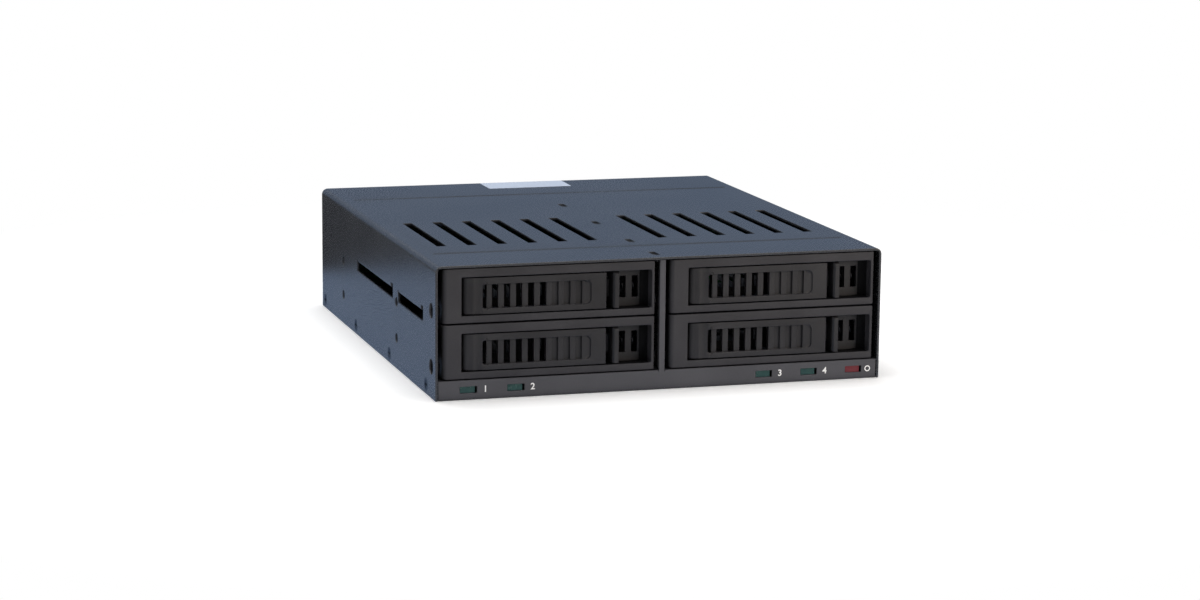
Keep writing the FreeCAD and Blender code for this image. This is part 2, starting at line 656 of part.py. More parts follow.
def indicator_parts():
    drive, alarm = lamps()
    light_pipes("drive_lamp_lenses", drive)
    light_pipes("alarm_lamp_lens", [alarm])
    front = S.bezel_setback + S.lamp_length + S.snug_gap + S.led_depth
    low = S.lamp_level - S.board_height / 2
    piece = Piece("indicator_board")
    piece.add("XZ", front, front + S.board_wall,
              box(S.board_margin - half_inside, half_inside - S.board_margin,
                  low, low + S.board_height))
    piece = Piece("indicator_leds")
    piece.add("XZ", front - S.led_depth, front, *[
        box(x - S.led_length / 2, x + S.led_length / 2, S.lamp_level - S.led_height / 2,
            S.lamp_level + S.led_height / 2) for x in drive + [alarm]])
    rear, rise = front + S.board_wall, S.sheet + S.flex_wall
    bend, end = S.flex_bend, S.lamp_level + S.board_wall
    path = [(rear, S.lamp_level), (rear + bend, S.lamp_level), (rear + 2 * bend, rise),
            (backplane_face - 2 * bend, rise), (backplane_face - bend, end),
            (backplane_face, end)]
    piece = Piece("indicator_cable")
    piece.add("YZ", S.flex_place - S.flex_width / 2, S.flex_place + S.flex_width / 2,
              path + [(y, z + S.flex_wall) for y, z in reversed(path)])


# --- cage: backplane -------------------------------------------------------------------

def board_screws():
    """The four backplane screws, as (x, z)."""
    pan = [(side * (half_inside - S.ear_margin), S.ear_hole_height) for side in (-1, 1)]
    return pan + [(place, level) for _, _, _, place, level in divider_ears()]


def backplane_board():
    piece = Piece("backplane_board")
    side = half_inside - S.backplane_margin
    piece.add("XZ", backplane_face, backplane_rear,
              box(-side, side, 2 * S.sheet, inside_top - S.backplane_margin))
    through = (backplane_face - S.sheet, backplane_rear + S.sheet)
    middle = low_tray + S.front_height
    top = inside_top - S.backplane_margin - S.air_low_height
    rows = [(4, middle - S.air_height / 2, middle + S.air_height / 2),
            (3, top - S.air_low_height, top)]
    for count, low, high in rows:
        for start in (-fan_place - S.air_pitch, fan_place - (count - 2) * S.air_pitch):
            slot = piece.cut("XZ", *through, soft_box(
                start - S.air_slot / 2, start + S.air_slot / 2, low, high, 1.0, 1.0))
            piece.row(slot, "X", S.air_pitch, size(count))
    piece.cut("XZ", *through, *[disc(x, z, S.mount_radius) for x, z in board_screws()])


def drive_socket(number, x, z):
    """A 22-way drive receptacle: two contact slots between two guide horns."""
    piece = Piece("drive_socket_%d" % number,
                  at=(x + S.socket_shift * -1, backplane_face - shell_depth / 2, z))
    half, high = S.socket_width / 2, S.socket_height / 2
    wall = S.shroud_wall
    piece.add("XZ", -S.socket_depth * 0.75, 0, box(-half, half, -high, high))
    for end in (-1, 1):
        horn = sorted((end * half, end * (half - 3 * wall)), key=lambda s: s.value)
        piece.add("XZ", -S.socket_depth, -S.socket_depth * 0.75,
                  box(*horn, -high + wall, high - wall))
    key = half - 3 * wall
    piece.cut("XZ", -2 * S.socket_depth, -S.shroud_wall,
              [(-key, -wall), (-key + wall, -wall), (-key + wall, 0), (key, 0),
               (key, wall), (-key, wall)])
    blade = box(-key / 3, -key / 3 + wall, 0, wall)
    piece.add("XZ", -S.socket_depth * 0.75, -S.shroud_wall, blade)
    piece.dress("Chamfer", wall / 2, lambda edge: runs_along(edge, 2)
                and near(middle_of(edge).y, -S.socket_depth))


def shrouded_port(label, x, z, width):
    """A plug header: an open shroud round one keyed contact tongue."""
    piece = Piece(label, at=(x, backplane_rear - shell_depth / 2, z))
    half, high, wall = width / 2, S.port_height / 2, S.shroud_wall
    piece.add("XZ", 0, S.port_depth, box(-half, half, -high, high))
    piece.cut("XZ", wall, S.port_depth + wall, box(-half + wall, half - wall,
                                                   -high + wall, high - wall))
    reach = half - 2 * wall
    piece.add("XZ", 0, S.port_depth - wall, [
        (-reach, -wall / 2), (reach, -wall / 2), (reach, wall / 2),
        (-reach + wall, wall / 2), (-reach + wall, wall * 1.5), (-reach, wall * 1.5)])


def backplane_screws():
    piece = Piece("backplane_screws")
    for x, z in board_screws():
        piece.turn("Y", (x, z), [
            (backplane_face - 2 * S.sheet, 0), (backplane_face - 2 * S.sheet,
                                                S.side_shank_radius),
            (backplane_rear, S.side_shank_radius), (backplane_rear, S.screw_head_radius),
            (backplane_rear + S.screw_head_height, S.screw_head_radius * 0.8),
            (backplane_rear + S.screw_head_height, 0)])


def side_cover_screws():
    piece = Piece("side_cover_screws")
    for side in (-1, 1):
        head = half_width - (S.side_head_radius - S.side_shank_radius)
        for y, z in side_screws():
            piece.turn("X", (y, z), [
                (side * half_width, 0), (side * half_width, S.side_head_radius),
                (side * head, S.side_shank_radius),
                (side * (half_width - S.side_shank_length), S.side_shank_radius),
                (side * (half_width - S.side_shank_length), 0)])
            ends = sorted((side * half_width, side * (half_width - S.pad_sink)),
                          key=lambda s: s.value)
            arm, slit = S.side_head_radius * 0.62, S.side_shank_radius * 0.22
            piece.cut("YZ", *ends, [
                (y - arm, z - slit), (y - slit, z - slit), (y - slit, z - arm),
                (y + slit, z - arm), (y + slit, z - slit), (y + arm, z - slit),
                (y + arm, z + slit), (y + slit, z + slit), (y + slit, z + arm),
                (y - slit, z + arm), (y - slit, z + slit), (y - arm, z + slit)])


# --- fans ------------------------------------------------------------------------------

def fan_frame(label, x):
    piece = Piece(label, at=(x, fan_front - shell_depth / 2, fan_level))
    half = S.fan_size / 2
    hub = S.fan_depth - S.hub_base
    piece.add("XZ", 0, S.fan_depth,
              soft_box(-half, half, -half, half, S.bend_radius, S.bend_radius),
              disc(0, 0, S.fan_bore))
    relief = S.fan_bore * 0.75
    piece.cut("XZ", S.fan_flange, S.fan_depth - S.fan_flange, *[
        box(*sorted((i * relief, i * (half + 1)), key=lambda s: s.value),
            *sorted((k * relief, k * (half + 1)), key=lambda s: s.value))
        for i in (-1, 1) for k in (-1, 1)])
    piece.cut("XZ", -S.sheet, S.fan_depth + S.sheet,
              *[disc(a, b, S.fan_hole_radius) for a, b in fan_corners(size(0), size(0))])
    thick = S.strut_width / 2
    reach = S.fan_bore + 0.5
    piece.add("XZ", hub, S.fan_depth, box(-reach, reach, -thick, thick))
    piece.add("XZ", hub, S.fan_depth, box(-thick, thick, -reach, reach))
    piece.add("XZ", hub, S.fan_depth, disc(0, 0, S.hub_radius))
    piece.cut("XZ", hub - S.sheet, S.fan_depth - S.sheet,
              disc(0, 0, S.shaft_radius + S.shaft_play))


def fan_rotor(label, x):
    piece = Piece(label, at=(x, fan_front - shell_depth / 2, fan_level))
    hub_rear = S.fan_depth - S.hub_base - S.hub_gap
    edge = S.blade_front / 2
    piece.turn("Y", (size(0), 0), [
        (edge, 0), (edge, S.hub_radius - edge), (2 * edge, S.hub_radius),
        (hub_rear, S.hub_radius), (hub_rear, S.shaft_radius),
        (S.fan_depth - 2 * S.sheet, S.shaft_radius), (S.fan_depth - 2 * S.sheet, 0)])

    def section(radius, half):
        return piece.sketch("YZ", radius, [[
            (S.blade_front, -half), (S.blade_front + S.blade_wall, -half),
            (S.blade_rear, half), (S.blade_rear - S.blade_wall, half)]])

    root = section(S.hub_radius - 2 * edge, S.blade_half_root)
    tip = section(S.blade_tip, S.blade_half_tip)
    blade = piece.body.newObject("PartDesign::AdditiveLoft", piece.name("blade"))
    blade.Profile = root
    blade.Sections = [tip]
    blade.Ruled = True
    piece.ring(blade, S.blade_count)


def fan_screws():
    piece = Piece("fan_screws")
    for x in (-fan_place, fan_place):
        for a, b in fan_corners(x, fan_level):
            piece.turn("Y", (a, b), [
                (panel_front - S.fan_flange, 0),
                (panel_front - S.fan_flange, S.fan_hole_radius - S.shaft_play),
                (panel_rear, S.fan_hole_radius - S.shaft_play),
                (panel_rear, S.screw_head_radius),
                (panel_rear + S.screw_head_height, S.screw_head_radius * 0.8),
                (panel_rear + S.screw_head_height, 0)])


# --- trays -----------------------------------------------------------------------------
# A tray's own frame: X from its middle, Y from its face into the depth, Z from its lowest edge.

def across(place):
    """A place along the tray front, counted from its left edge."""
    return place - half_front


def from_right(place):
    """A place along the tray front, counted from its right edge."""
    return half_front - place


pivot_x = across(S.pivot_place)
pocket_left, pocket_right = across(S.pocket_left), from_right(S.pocket_right)
lever_end = from_right(S.lever_inset)
window_left, window_right = across(S.window_left), from_right(S.window_inset)
latch_left, latch_right = from_right(S.latch_far), from_right(S.latch_near)
spring_seat = from_right(S.seat_inset)
pocket_top = S.pocket_low + S.pocket_height
window_top = S.window_low + S.window_height
tray_rear = backplane_face - S.socket_depth - S.tray_setback - S.tray_end_gap


def tray_front(number, at):
    """The moulded front: a frame round the lever pocket, open to the rear for air."""
    piece = Piece("tray_front_%d" % number, at)
    piece.add("XY", 0, S.front_height, box(-half_front, half_front, 0, S.front_depth))
    piece.dress("Fillet", S.corner_radius, lambda edge: runs_along(edge, 2)
                and near(middle_of(edge).x, -half_front) and near(middle_of(edge).y, 0))
    piece.cut("XZ", -S.sheet, S.front_depth + S.sheet, soft_box(
        pocket_left, pocket_right, S.pocket_low, pocket_top, None, S.pocket_round))
    sweep = []
    for step in range(7):
        angle = math.radians(15 * step)
        sweep.append((pocket_right - S.sweep_width * (1 - math.cos(angle)),
                      S.sweep_start + S.sweep_depth * math.sin(angle)))
    corner = S.pocket_right / 2
    piece.add("XY", S.pocket_low - corner, pocket_top + corner, sweep + [
        (pocket_right + corner, S.sweep_start + S.sweep_depth),
        (pocket_right + corner, S.sweep_start)])
    piece.cut("XY", S.pin_seat, S.front_height - S.pin_seat,
              disc(pivot_x, S.pivot_depth, S.pin_radius))
    play = S.running_gap
    piece.cut("XY", S.catch_height - S.tooth_height / 2 - play,
              S.catch_height + S.tooth_height / 2 + play,
              box(-half_front - S.sheet, pocket_left + play,
                  S.pivot_depth + S.tooth_offset - play, S.front_depth - play))
    slack = S.latch_play
    piece.cut("XY", S.pocket_low - S.latch_tongue - slack, pocket_top + S.latch_tongue + slack,
              box(latch_left - 2 * S.hook_reach, pocket_right + slack,
                  S.latch_depth - slack, S.latch_depth + S.latch_wall + slack))
    for end in (-1, 1):
        lug = sorted((end * (half_front - slack), end * S.drive_width / 2),
                     key=lambda s: s.value)
        piece.add("XY", S.lug_low, S.lug_low + S.lug_height,
                  box(*lug, S.front_depth - S.lug_length, S.front_depth))


def rib_slots():
    """Left edge of each slot of the lever's vent window."""
    count = int(S.open_slots.value + S.blind_slots.value)
    first = window_left - S.rib_lead
    pitch = (window_right - S.rib_tail - first) / (count - 1)
    return [first + index * pitch for index in range(count)]


def lever(number, at):
    piece = Piece("lever_%d" % number, at)
    low, high = S.pocket_low + S.lever_gap, pocket_top - S.lever_gap
    rear = S.lever_face + S.lever_wall
    end = lever_end
    piece.add("XY", low, high, [
        (pivot_x, S.pivot_depth - S.knuckle_radius), (pivot_x + 2, S.lever_face),
        (end, S.lever_face), (end, rear), (pivot_x, rear)])
    piece.add("XY", low, high, disc(pivot_x, S.pivot_depth, S.knuckle_radius))
    piece.add("XY", S.hook_low, S.hook_low + S.hook_height, [
        (end - S.lip_place, S.lever_face + 1), (end, S.lever_face + 1),
        (end, S.hook_depth - S.hook_rise), (end + S.hook_reach, S.hook_depth - S.hook_rise),
        (end, S.hook_depth), (end - S.lip_place, S.hook_depth)])
    tooth = S.pivot_depth + S.tooth_offset
    piece.add("XY", S.catch_height - S.tooth_height / 2, S.catch_height + S.tooth_height / 2,
              box(pivot_x - S.tooth_length, pivot_x - S.pin_radius * 1.5, tooth,
                  tooth + S.tooth_wall))
    dip = S.lever_face + S.dip_depth - S.dip_radius
    piece.cut("XY", low - S.sheet, high + S.sheet, disc(across(S.dip_place), dip, S.dip_radius))
    slots, opened = rib_slots(), int(S.open_slots.value)
    half_way = slots[opened - 1] + S.rib_slot
    piece.cut("XZ", -S.sheet, S.lever_face + S.window_sink, soft_box(
        window_left, half_way, S.window_low, window_top, S.window_radius, None))
    piece.cut("XZ", -S.sheet, S.lever_face + S.blind_sink, soft_box(
        half_way, window_right, S.window_low, window_top, None, S.window_radius))
    piece.cut("XZ", -S.sheet, rear + S.sheet, soft_box(
        window_left, slots[0] + S.rib_slot, S.window_low, window_top,
        S.rib_slot * 0.35, None))
    piece.cut("XZ", -S.sheet, rear + S.sheet, *[
        box(edge, edge + S.rib_slot, S.window_low, window_top)
        for edge in slots[1:opened]])
    piece.cut("XZ", 0, S.lever_face + S.blind_sink + S.blind_groove, *[
        box(edge, edge + S.rib_slot, S.window_low + S.snug_gap,
            window_top - S.snug_gap) for edge in slots[opened:-1]])
    piece.cut("XY", low - S.sheet, high + S.sheet,
              disc(pivot_x, S.pivot_depth, S.pin_radius + S.pin_play))


def lever_pin(number, at):
    piece = Piece("lever_pin_%d" % number, at)
    piece.add("XY", S.pin_seat, S.front_height - S.pin_seat,
              disc(pivot_x, S.pivot_depth, S.pin_radius))


def latch(number, at):
    piece = Piece("latch_%d" % number, at)
    left, rear = latch_left, S.latch_depth + S.latch_wall
    piece.add("XY", S.pocket_low - S.latch_tongue, pocket_top + S.latch_tongue,
              box(left, latch_right, S.latch_depth, rear))
    piece.add("XY", S.hook_low, S.hook_low + S.hook_height,
              box(left - S.hook_reach, left + S.hook_reach, S.latch_depth, rear))
    piece.add("XY", S.pocket_low + S.running_gap, pocket_top - S.running_gap,
              box(left, left + S.bar_thickness, S.bar_face, S.latch_depth + S.snug_gap))
    piece.dress("Chamfer", S.bar_chamfer, lambda edge: near(middle_of(edge).y, S.bar_face)
                and (near(middle_of(edge).x, left)
                     or near(middle_of(edge).z, pocket_top - S.running_gap)))
    piece.cut("XZ", S.latch_depth - S.sheet, rear + S.sheet, *[
        box(edge, edge + S.grip_slot, S.grip_low, S.grip_low + S.grip_height)
        for edge in (from_right(S.grip_inset), from_right(S.grip_inset - S.grip_pitch))])
    middle = S.pocket_low + S.pocket_height / 2
    piece.add("XY", middle - S.seat_height / 2, middle + S.seat_height / 2,
              box(spring_seat - S.seat_wall, spring_seat, S.latch_depth + S.snug_gap, rear + S.seat_depth))


def latch_spring(number, at):
    """A coil between the latch's rear lug and the frame's right wall."""
    start, end = spring_seat.value, pocket_right.value
    wire, radius = S.spring_wire.value, S.spring_radius.value
    length = end - start - wire
    helix = Part.makeHelix(length / S.spring_turns.value, length, radius)
    section = Part.Wire(Part.makePolygon([
        FreeCAD.Vector(radius + i * wire / 2, 0, k * wire / 2)
        for i, k in ((-1, -1), (1, -1), (1, 1), (-1, 1), (-1, -1))]))
    coil = Part.Wire(helix).makePipeShell([section], True, True)
    feature = doc.addObject("Part::Feature", "latch_spring_%d" % number)
    feature.Label = "latch_spring_%d" % number
    feature.Shape = coil
    foot = (start + wire / 2, S.latch_depth + S.latch_wall + S.seat_depth / 2,
            S.pocket_low + S.pocket_height / 2)
    place = [(size(base) + offset).value for base, offset in zip(at, foot)]
    along_x = FreeCAD.Rotation(FreeCAD.Vector(0, 1, 0), 90)
    feature.Placement = FreeCAD.Placement(FreeCAD.Vector(*place), along_x)
    Piece.made.append(feature)


def tray_body(number, at):
    """The folded sheet tray that the drive is screwed into."""
    piece = Piece("tray_body_%d" % number, at)
    half, inner = tray_width / 2, S.drive_width / 2
    floor = S.tray_floor + S.tray_wall
    piece.add("XZ", S.front_depth, tray_rear, [
        (-half, S.tray_floor), (-half, S.tray_floor + S.wall_height),
        (-inner, S.tray_floor + S.wall_height), (-inner, floor), (inner, floor),
        (inner, S.tray_floor + S.wall_height), (half, S.tray_floor + S.wall_height),
        (half, S.tray_floor)])
    for end in (-1, 1):
        ear = sorted((end * half, end * inner), key=lambda s: s.value)
        piece.add("XY", S.lug_low, S.lug_low + S.lug_height,
                  box(*ear, S.front_depth - S.lug_length, S.front_depth + S.tray_wall))
    piece.add("XZ", S.front_depth, S.front_depth + S.tray_wall,
              box(-inner - S.tray_wall / 2, inner + S.tray_wall / 2,
                  S.tray_floor + S.tray_wall / 2, S.tray_floor + S.wall_height))
    low = S.tray_floor + (S.wall_height - S.grille_height) / 2 + S.tray_wall
    first = -S.grille_pitch * (S.grille_count - 1) / 2
    gap = piece.cut("XZ", S.front_depth - S.sheet, S.front_depth + S.sheet, box(
        first - S.grille_slot / 2, first + S.grille_slot / 2, low, low + S.grille_height))
    piece.row(gap, "X", S.grille_pitch, S.grille_count)
    middle = (S.front_depth + tray_rear) / 2
    first = -S.floor_slot_pitch * (S.floor_slot_count - 1) / 2
    slot = piece.cut("XY", 0, floor + S.sheet, box(
        first - S.floor_slot / 2, first + S.floor_slot / 2,
        middle - S.floor_slot_length / 2, middle + S.floor_slot_length / 2))
    piece.row(slot, "X", S.floor_slot_pitch, S.floor_slot_count)
    rear_hole = drive_front + S.drive_length - S.drive_hole_setback
    holes = (rear_hole, rear_hole - S.drive_hole_spacing)
    piece.cut("YZ", -half - S.sheet, half + S.sheet,
              *[disc(y, floor + S.drive_hole_height, S.drive_hole_radius) for y in holes])
    piece.cut("XY", 0, floor + S.sheet, *[
        disc(side * S.drive_base_spacing / 2, y, S.drive_hole_radius)
        for y in holes for side in (-1, 1)])


def tray_places():
    """Trays 1 and 2 on the left, 3 and 4 on the right, the upper one first."""
    return [(side * tray_centre, S.tray_setback - shell_depth / 2, level)
            for side in (-1, 1) for level in (high_tray, low_tray)]


# --- the whole cage --------------------------------------------------------------------

outer_shell()
base_pan()
centre_divider()
rear_panel()
front_bezel()
indicator_parts()
backplane_board()
backplane_screws()
side_cover_screws()
for order, (tray_x, tray_y, tray_z) in enumerate(tray_places(), start=1):
    drive_socket(order, tray_x, tray_z + S.tray_floor + S.tray_wall + S.socket_level)
    place = (tray_x, tray_y, tray_z)
    for make in (tray_body, tray_front, lever, lever_pin, latch, latch_spring):
        make(order, place)
port_places = [(side * S.port_place, S.port_level - row * S.port_drop)
               for side in (-1, 1) for row in (0, 1)]
for order, (port_x, port_z) in enumerate(port_places, start=1):
    shrouded_port("data_port_%d" % order, port_x, port_z, S.port_width)
for order, side in enumerate((-1, 1), start=1):
    shrouded_port("power_inlet_%d" % order, side * S.power_place, S.power_level,
                  S.power_width)
for label, fan_x in (("left", -fan_place), ("right", fan_place)):
    fan_frame("fan_frame_" + label, fan_x)
    fan_rotor("fan_rotor_" + label, fan_x)
fan_screws()

doc.recompute()

problems = ["%s is %s" % (thing.Label, thing.State) for thing in doc.Objects
            if {"Invalid", "Error"} & set(thing.State)]
for thing in doc.Objects:
    if thing.TypeId == "PartDesign::Pocket" and not problems:
        if thing.BaseFeature is None or (
                thing.Shape.Volume > thing.BaseFeature.Shape.Volume - 1e-6):
            problems.append("%s cuts nothing" % thing.Label)
for piece in Piece.made:
    if piece.Shape.isNull() or not piece.Shape.isValid() or not piece.Shape.Solids:
        problems.append("%s has no valid solid" % piece.Label)
if problems:
    raise RuntimeError("\n".join(problems))

os.makedirs("parts", exist_ok=True)
for piece in Piece.made:
    piece.Shape.exportStep("parts/%s.step" % piece.Label)
print("%d sub-parts, shell %.2f x %.2f x %.2f mm" % (
    len(Piece.made), 2 * half_width.value, shell_depth.value, shell_height.value))
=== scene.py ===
import json
import math
import bpy
from mathutils import Matrix, Vector

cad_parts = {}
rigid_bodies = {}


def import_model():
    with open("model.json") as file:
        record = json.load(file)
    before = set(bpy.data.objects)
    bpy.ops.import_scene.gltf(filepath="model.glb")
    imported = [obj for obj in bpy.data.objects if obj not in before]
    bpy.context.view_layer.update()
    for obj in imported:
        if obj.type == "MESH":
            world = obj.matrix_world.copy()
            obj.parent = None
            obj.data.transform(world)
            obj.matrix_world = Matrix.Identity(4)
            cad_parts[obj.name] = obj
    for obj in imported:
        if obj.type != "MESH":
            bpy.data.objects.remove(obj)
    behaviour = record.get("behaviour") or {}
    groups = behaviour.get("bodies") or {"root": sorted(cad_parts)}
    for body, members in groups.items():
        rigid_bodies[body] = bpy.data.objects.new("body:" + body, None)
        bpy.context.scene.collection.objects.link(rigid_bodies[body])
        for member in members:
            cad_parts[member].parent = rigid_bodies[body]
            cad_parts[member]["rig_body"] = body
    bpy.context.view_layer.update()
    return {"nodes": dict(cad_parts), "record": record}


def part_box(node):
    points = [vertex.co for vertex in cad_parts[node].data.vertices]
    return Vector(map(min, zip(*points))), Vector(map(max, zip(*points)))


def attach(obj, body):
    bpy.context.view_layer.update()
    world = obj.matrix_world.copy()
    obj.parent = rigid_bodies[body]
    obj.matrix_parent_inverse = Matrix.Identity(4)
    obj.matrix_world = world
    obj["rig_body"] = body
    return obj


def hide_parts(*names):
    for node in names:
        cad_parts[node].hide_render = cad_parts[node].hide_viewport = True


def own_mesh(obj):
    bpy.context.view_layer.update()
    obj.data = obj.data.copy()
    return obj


# Hot swap drive cage: black powder-coated sheet round four moulded drive trays.
# Metres, +X to the right across the front, +Y into the depth, +Z up.

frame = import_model()
mm = 0.001
trays = (1, 2, 3, 4)
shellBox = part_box("outer_shell")


# colours and nodes

def fromHex(text):  # sRGB hex to the linear colour that a shader takes
    channels = [int(text[i:i + 2], 16) / 255 for i in (1, 3, 5)]
    return [c / 12.92 if c <= 0.04045 else ((c + 0.055) / 1.055) ** 2.4 for c in channels] + [1.0]


def addNode(tree, kind, settings=None, links=None):
    node = tree.nodes.new("ShaderNode" + kind)
    for key, value in (settings or {}).items():
        if isinstance(key, str) and hasattr(node, key):
            setattr(node, key, value)
        else:
            node.inputs[key].default_value = value
    for key, socket in (links or {}).items():
        tree.links.new(socket, node.inputs[key])
    return node


def newSurface(name, settings):  # a material with its Principled shader and object coordinates
    material = bpy.data.materials.new(name)
    material.use_nodes = True
    tree = material.node_tree
    shader = tree.nodes["Principled BSDF"]
    for key, value in settings.items():
        shader.inputs[key].default_value = value
    return material, tree, shader, addNode(tree, "TexCoord").outputs["Object"]


def twoTone(tree, factor, first, second):  # a blend of two hex colours
    mix = addNode(tree, "Mix", {"data_type": "RGBA"})
    mix.inputs[6].default_value = fromHex(first)
    mix.inputs[7].default_value = fromHex(second)
    tree.links.new(factor, mix.inputs[0])
    return mix.outputs[2]


def overlay(tree, factor, below, tone):  # a hex colour over what a socket gives
    mix = addNode(tree, "Mix", {"data_type": "RGBA"})
    mix.inputs[7].default_value = fromHex(tone)
    tree.links.new(factor, mix.inputs[0])
    tree.links.new(below, mix.inputs[6])
    return mix.outputs[2]


def spread(tree, value, low, high, outLow, outHigh):
    return addNode(tree, "MapRange", {1: low, 2: high, 3: outLow, 4: outHigh},
                   {0: value}).outputs[0]


def roughFrom(tree, shader, pattern, low, high):  # roughness that varies with a pattern
    tree.links.new(spread(tree, pattern, 0.3, 0.7, low, high), shader.inputs["Roughness"])


def bumpFrom(tree, shader, pattern, strength, depth):  # relief of a depth in metres
    bump = addNode(tree, "Bump", {"Strength": strength, "Distance": depth}, {"Height": pattern})
    tree.links.new(bump.outputs[0], shader.inputs["Normal"])


shadedInterior = {"wall": 0.7 * mm, "foot": 0.15 * mm, "rear": 2.1 * mm, "blur": 0.05 * mm}


def insideMask(tree, place):  # 1 on surfaces inside the sheet walls, which get painted shade for the dark enclosure
    (_, _, low), (right, rear, top) = shellBox
    blur = shadedInterior["blur"]
    side, roof, foot = right - shadedInterior["wall"], top - shadedInterior["wall"], low + shadedInterior["foot"]
    back = rear - shadedInterior["rear"]
    axes = addNode(tree, "SeparateXYZ", links={0: place})
    across = addNode(tree, "Math", {"operation": "ABSOLUTE"}, {0: axes.outputs["X"]}).outputs[0]
    within = spread(tree, across, side - blur, side + blur, 1.0, 0.0)
    under = spread(tree, axes.outputs["Z"], roof - blur, roof + blur, 1.0, 0.0)
    above = spread(tree, axes.outputs["Z"], foot - blur, foot + blur, 0.0, 1.0)
    before = spread(tree, axes.outputs["Y"], back, back + blur, 1.0, 0.0)
    for other in (under, above, before):
        within = addNode(tree, "Math", {"operation": "MULTIPLY"}, {0: within, 1: other}).outputs[0]
    return within


def noiseOf(tree, place, size, detail=2.0, rough=0.5):  # size of a speck in metres
    return addNode(tree, "TexNoise", {"Scale": 1.0 / size, "Detail": detail,
                                      "Roughness": rough}, {"Vector": place}).outputs["Fac"]


def edgeMask(tree, reach):  # 1 on worn outer edges, 0 on flats
    soft = addNode(tree, "Bevel", {"samples": 4, "Radius": reach}).outputs["Normal"]
    true = addNode(tree, "NewGeometry").outputs["Normal"]
    dot = addNode(tree, "VectorMath", {"operation": "DOT_PRODUCT"}, {0: soft, 1: true})
    return spread(tree, dot.outputs["Value"], 0.995, 0.86, 0.0, 1.0)


# materials

def cavity(tree, reach, depth):  # painted shade: 0 in narrow gaps and slots, 1 in the open, found by an occlusion test
    share = addNode(tree, "AmbientOcclusion", {"samples": 4, "Distance": reach}).outputs["AO"]
    return spread(tree, share, 0.25, 0.8, depth, 1.0)


def shaded(tree, colour, share):  # a colour made darker by a share
    mix = addNode(tree, "Mix", {"data_type": "RGBA", "blend_type": "MULTIPLY", 0: 1.0})
    tree.links.new(colour, mix.inputs[6])
    tree.links.new(share, mix.inputs[7])
    return mix.outputs[2]


def powderCoat(name, look):
    # polyester powder coat, fine wrinkle grade: satin, slightly blue black, with a leathery grain
    material, tree, shader, place = newSurface(name, {"Roughness": 0.5, "IOR": 1.5})
    shader.inputs["Specular IOR Level"].default_value = look["gloss"]
    cloud = noiseOf(tree, place, look["cloud"], 3.0)
    body = twoTone(tree, spread(tree, cloud, 0.35, 0.65, 0.0, 1.0), look["dark"], look["light"])
    # painted shade: surfaces inside the shell take the darker inside colour in place of the
    # enclosure's shadow
    body = overlay(tree, insideMask(tree, place), body, look["inside"])
    rubbed = addNode(tree, "Math", {"operation": "MULTIPLY", 1: look["wear"]},
                     {0: edgeMask(tree, 0.25 * mm)}).outputs[0]
    tree.links.new(overlay(tree, rubbed, body, look["edge"]), shader.inputs["Base Color"])
    grain = noiseOf(tree, place, look["grain"], 2.0, 0.6)
    roughFrom(tree, shader, grain, *look["rough"])
    bumpFrom(tree, shader, grain, look["relief"], 0.05 * mm)
    return material


def mouldedPlastic(name, look):
    # injection moulded ABS from a spark-eroded tool: even fine pitting, soft sheen on the edges
    material, tree, shader, place = newSurface(name, {"Roughness": 0.5, "IOR": 1.53})
    shader.inputs["Specular IOR Level"].default_value = look["gloss"]
    cloud = noiseOf(tree, place, look["cloud"], 2.0)
    flow = spread(tree, cloud, 0.35, 0.65, 0.0, 1.0)
    body = twoTone(tree, flow, look["dark"], look["light"])
    # painted shade: the colour is darkened in gaps and slots by the occlusion test
    body = shaded(tree, body, cavity(tree, look["crevice"], 0.1))
    tree.links.new(body, shader.inputs["Base Color"])
    pits = noiseOf(tree, place, look["grain"], 1.5, 0.5)
    roughFrom(tree, shader, pits, *look["rough"])
    bumpFrom(tree, shader, pits, look["relief"], 0.04 * mm)
    return material


def bareMetal(name, look):
    # drawn or rolled metal: long faint draw lines along one axis and a soft mirror
    material, tree, shader, place = newSurface(name, {"Metallic": 1.0, "Roughness": 0.3})
    lines = addNode(tree, "Mapping", {"Scale": look["stretch"]}, {"Vector": place}).outputs[0]
    draw = noiseOf(tree, lines, look["grain"], 3.0)
    body = twoTone(tree, draw, look["dark"], look["light"])
    # painted shade: the colour is darkened in gaps and slots by the occlusion test
    body = shaded(tree, body, cavity(tree, 1.2 * mm, 0.1))
    tree.links.new(body, shader.inputs["Base Color"])
    roughFrom(tree, shader, draw, *look["rough"])
    bumpFrom(tree, shader, draw, 0.25, 0.01 * mm)
    return material


def tintedLens(name, look):
    # clear polycarbonate light pipe with dye in it: glossy, darker where it is thick
    material, tree, shader, place = newSurface(
        name, {"Roughness": 0.22, "IOR": 1.58, "Transmission Weight": look["clear"],
               "Coat Weight": 0.3, "Coat Roughness": 0.1})
    swirl = noiseOf(tree, place, 2.5 * mm, 2.0)
    tree.links.new(twoTone(tree, swirl, look["dark"], look["light"]), shader.inputs["Base Color"])
    roughFrom(tree, shader, swirl, 0.16, 0.3)
    return material


def circuitBoard(name, look):
    # green solder mask over copper: the tracks stand out a shade lighter under the mask
    material, tree, shader, place = newSurface(name, {"Roughness": 0.35, "IOR": 1.5})
    upright = addNode(tree, "Mapping", {"Rotation": (math.pi / 2, 0, 0)}, {"Vector": place})
    tracks = addNode(tree, "TexBrick", {
        "Scale": 1.0, "Mortar Size": 0.35 * mm, "Brick Width": look["run"],
        "Row Height": look["pitch"], "Color1": fromHex(look["mask"]),
        "Color2": fromHex(look["maskDark"]), "Mortar": fromHex(look["track"])},
        {"Vector": upright.outputs[0]})
    tree.links.new(tracks.outputs["Color"], shader.inputs["Base Color"])
    bumpFrom(tree, shader, tracks.outputs["Fac"], 0.4, 0.03 * mm)
    roughFrom(tree, shader, noiseOf(tree, place, 0.8 * mm, 2.0), 0.28, 0.45)
    return material


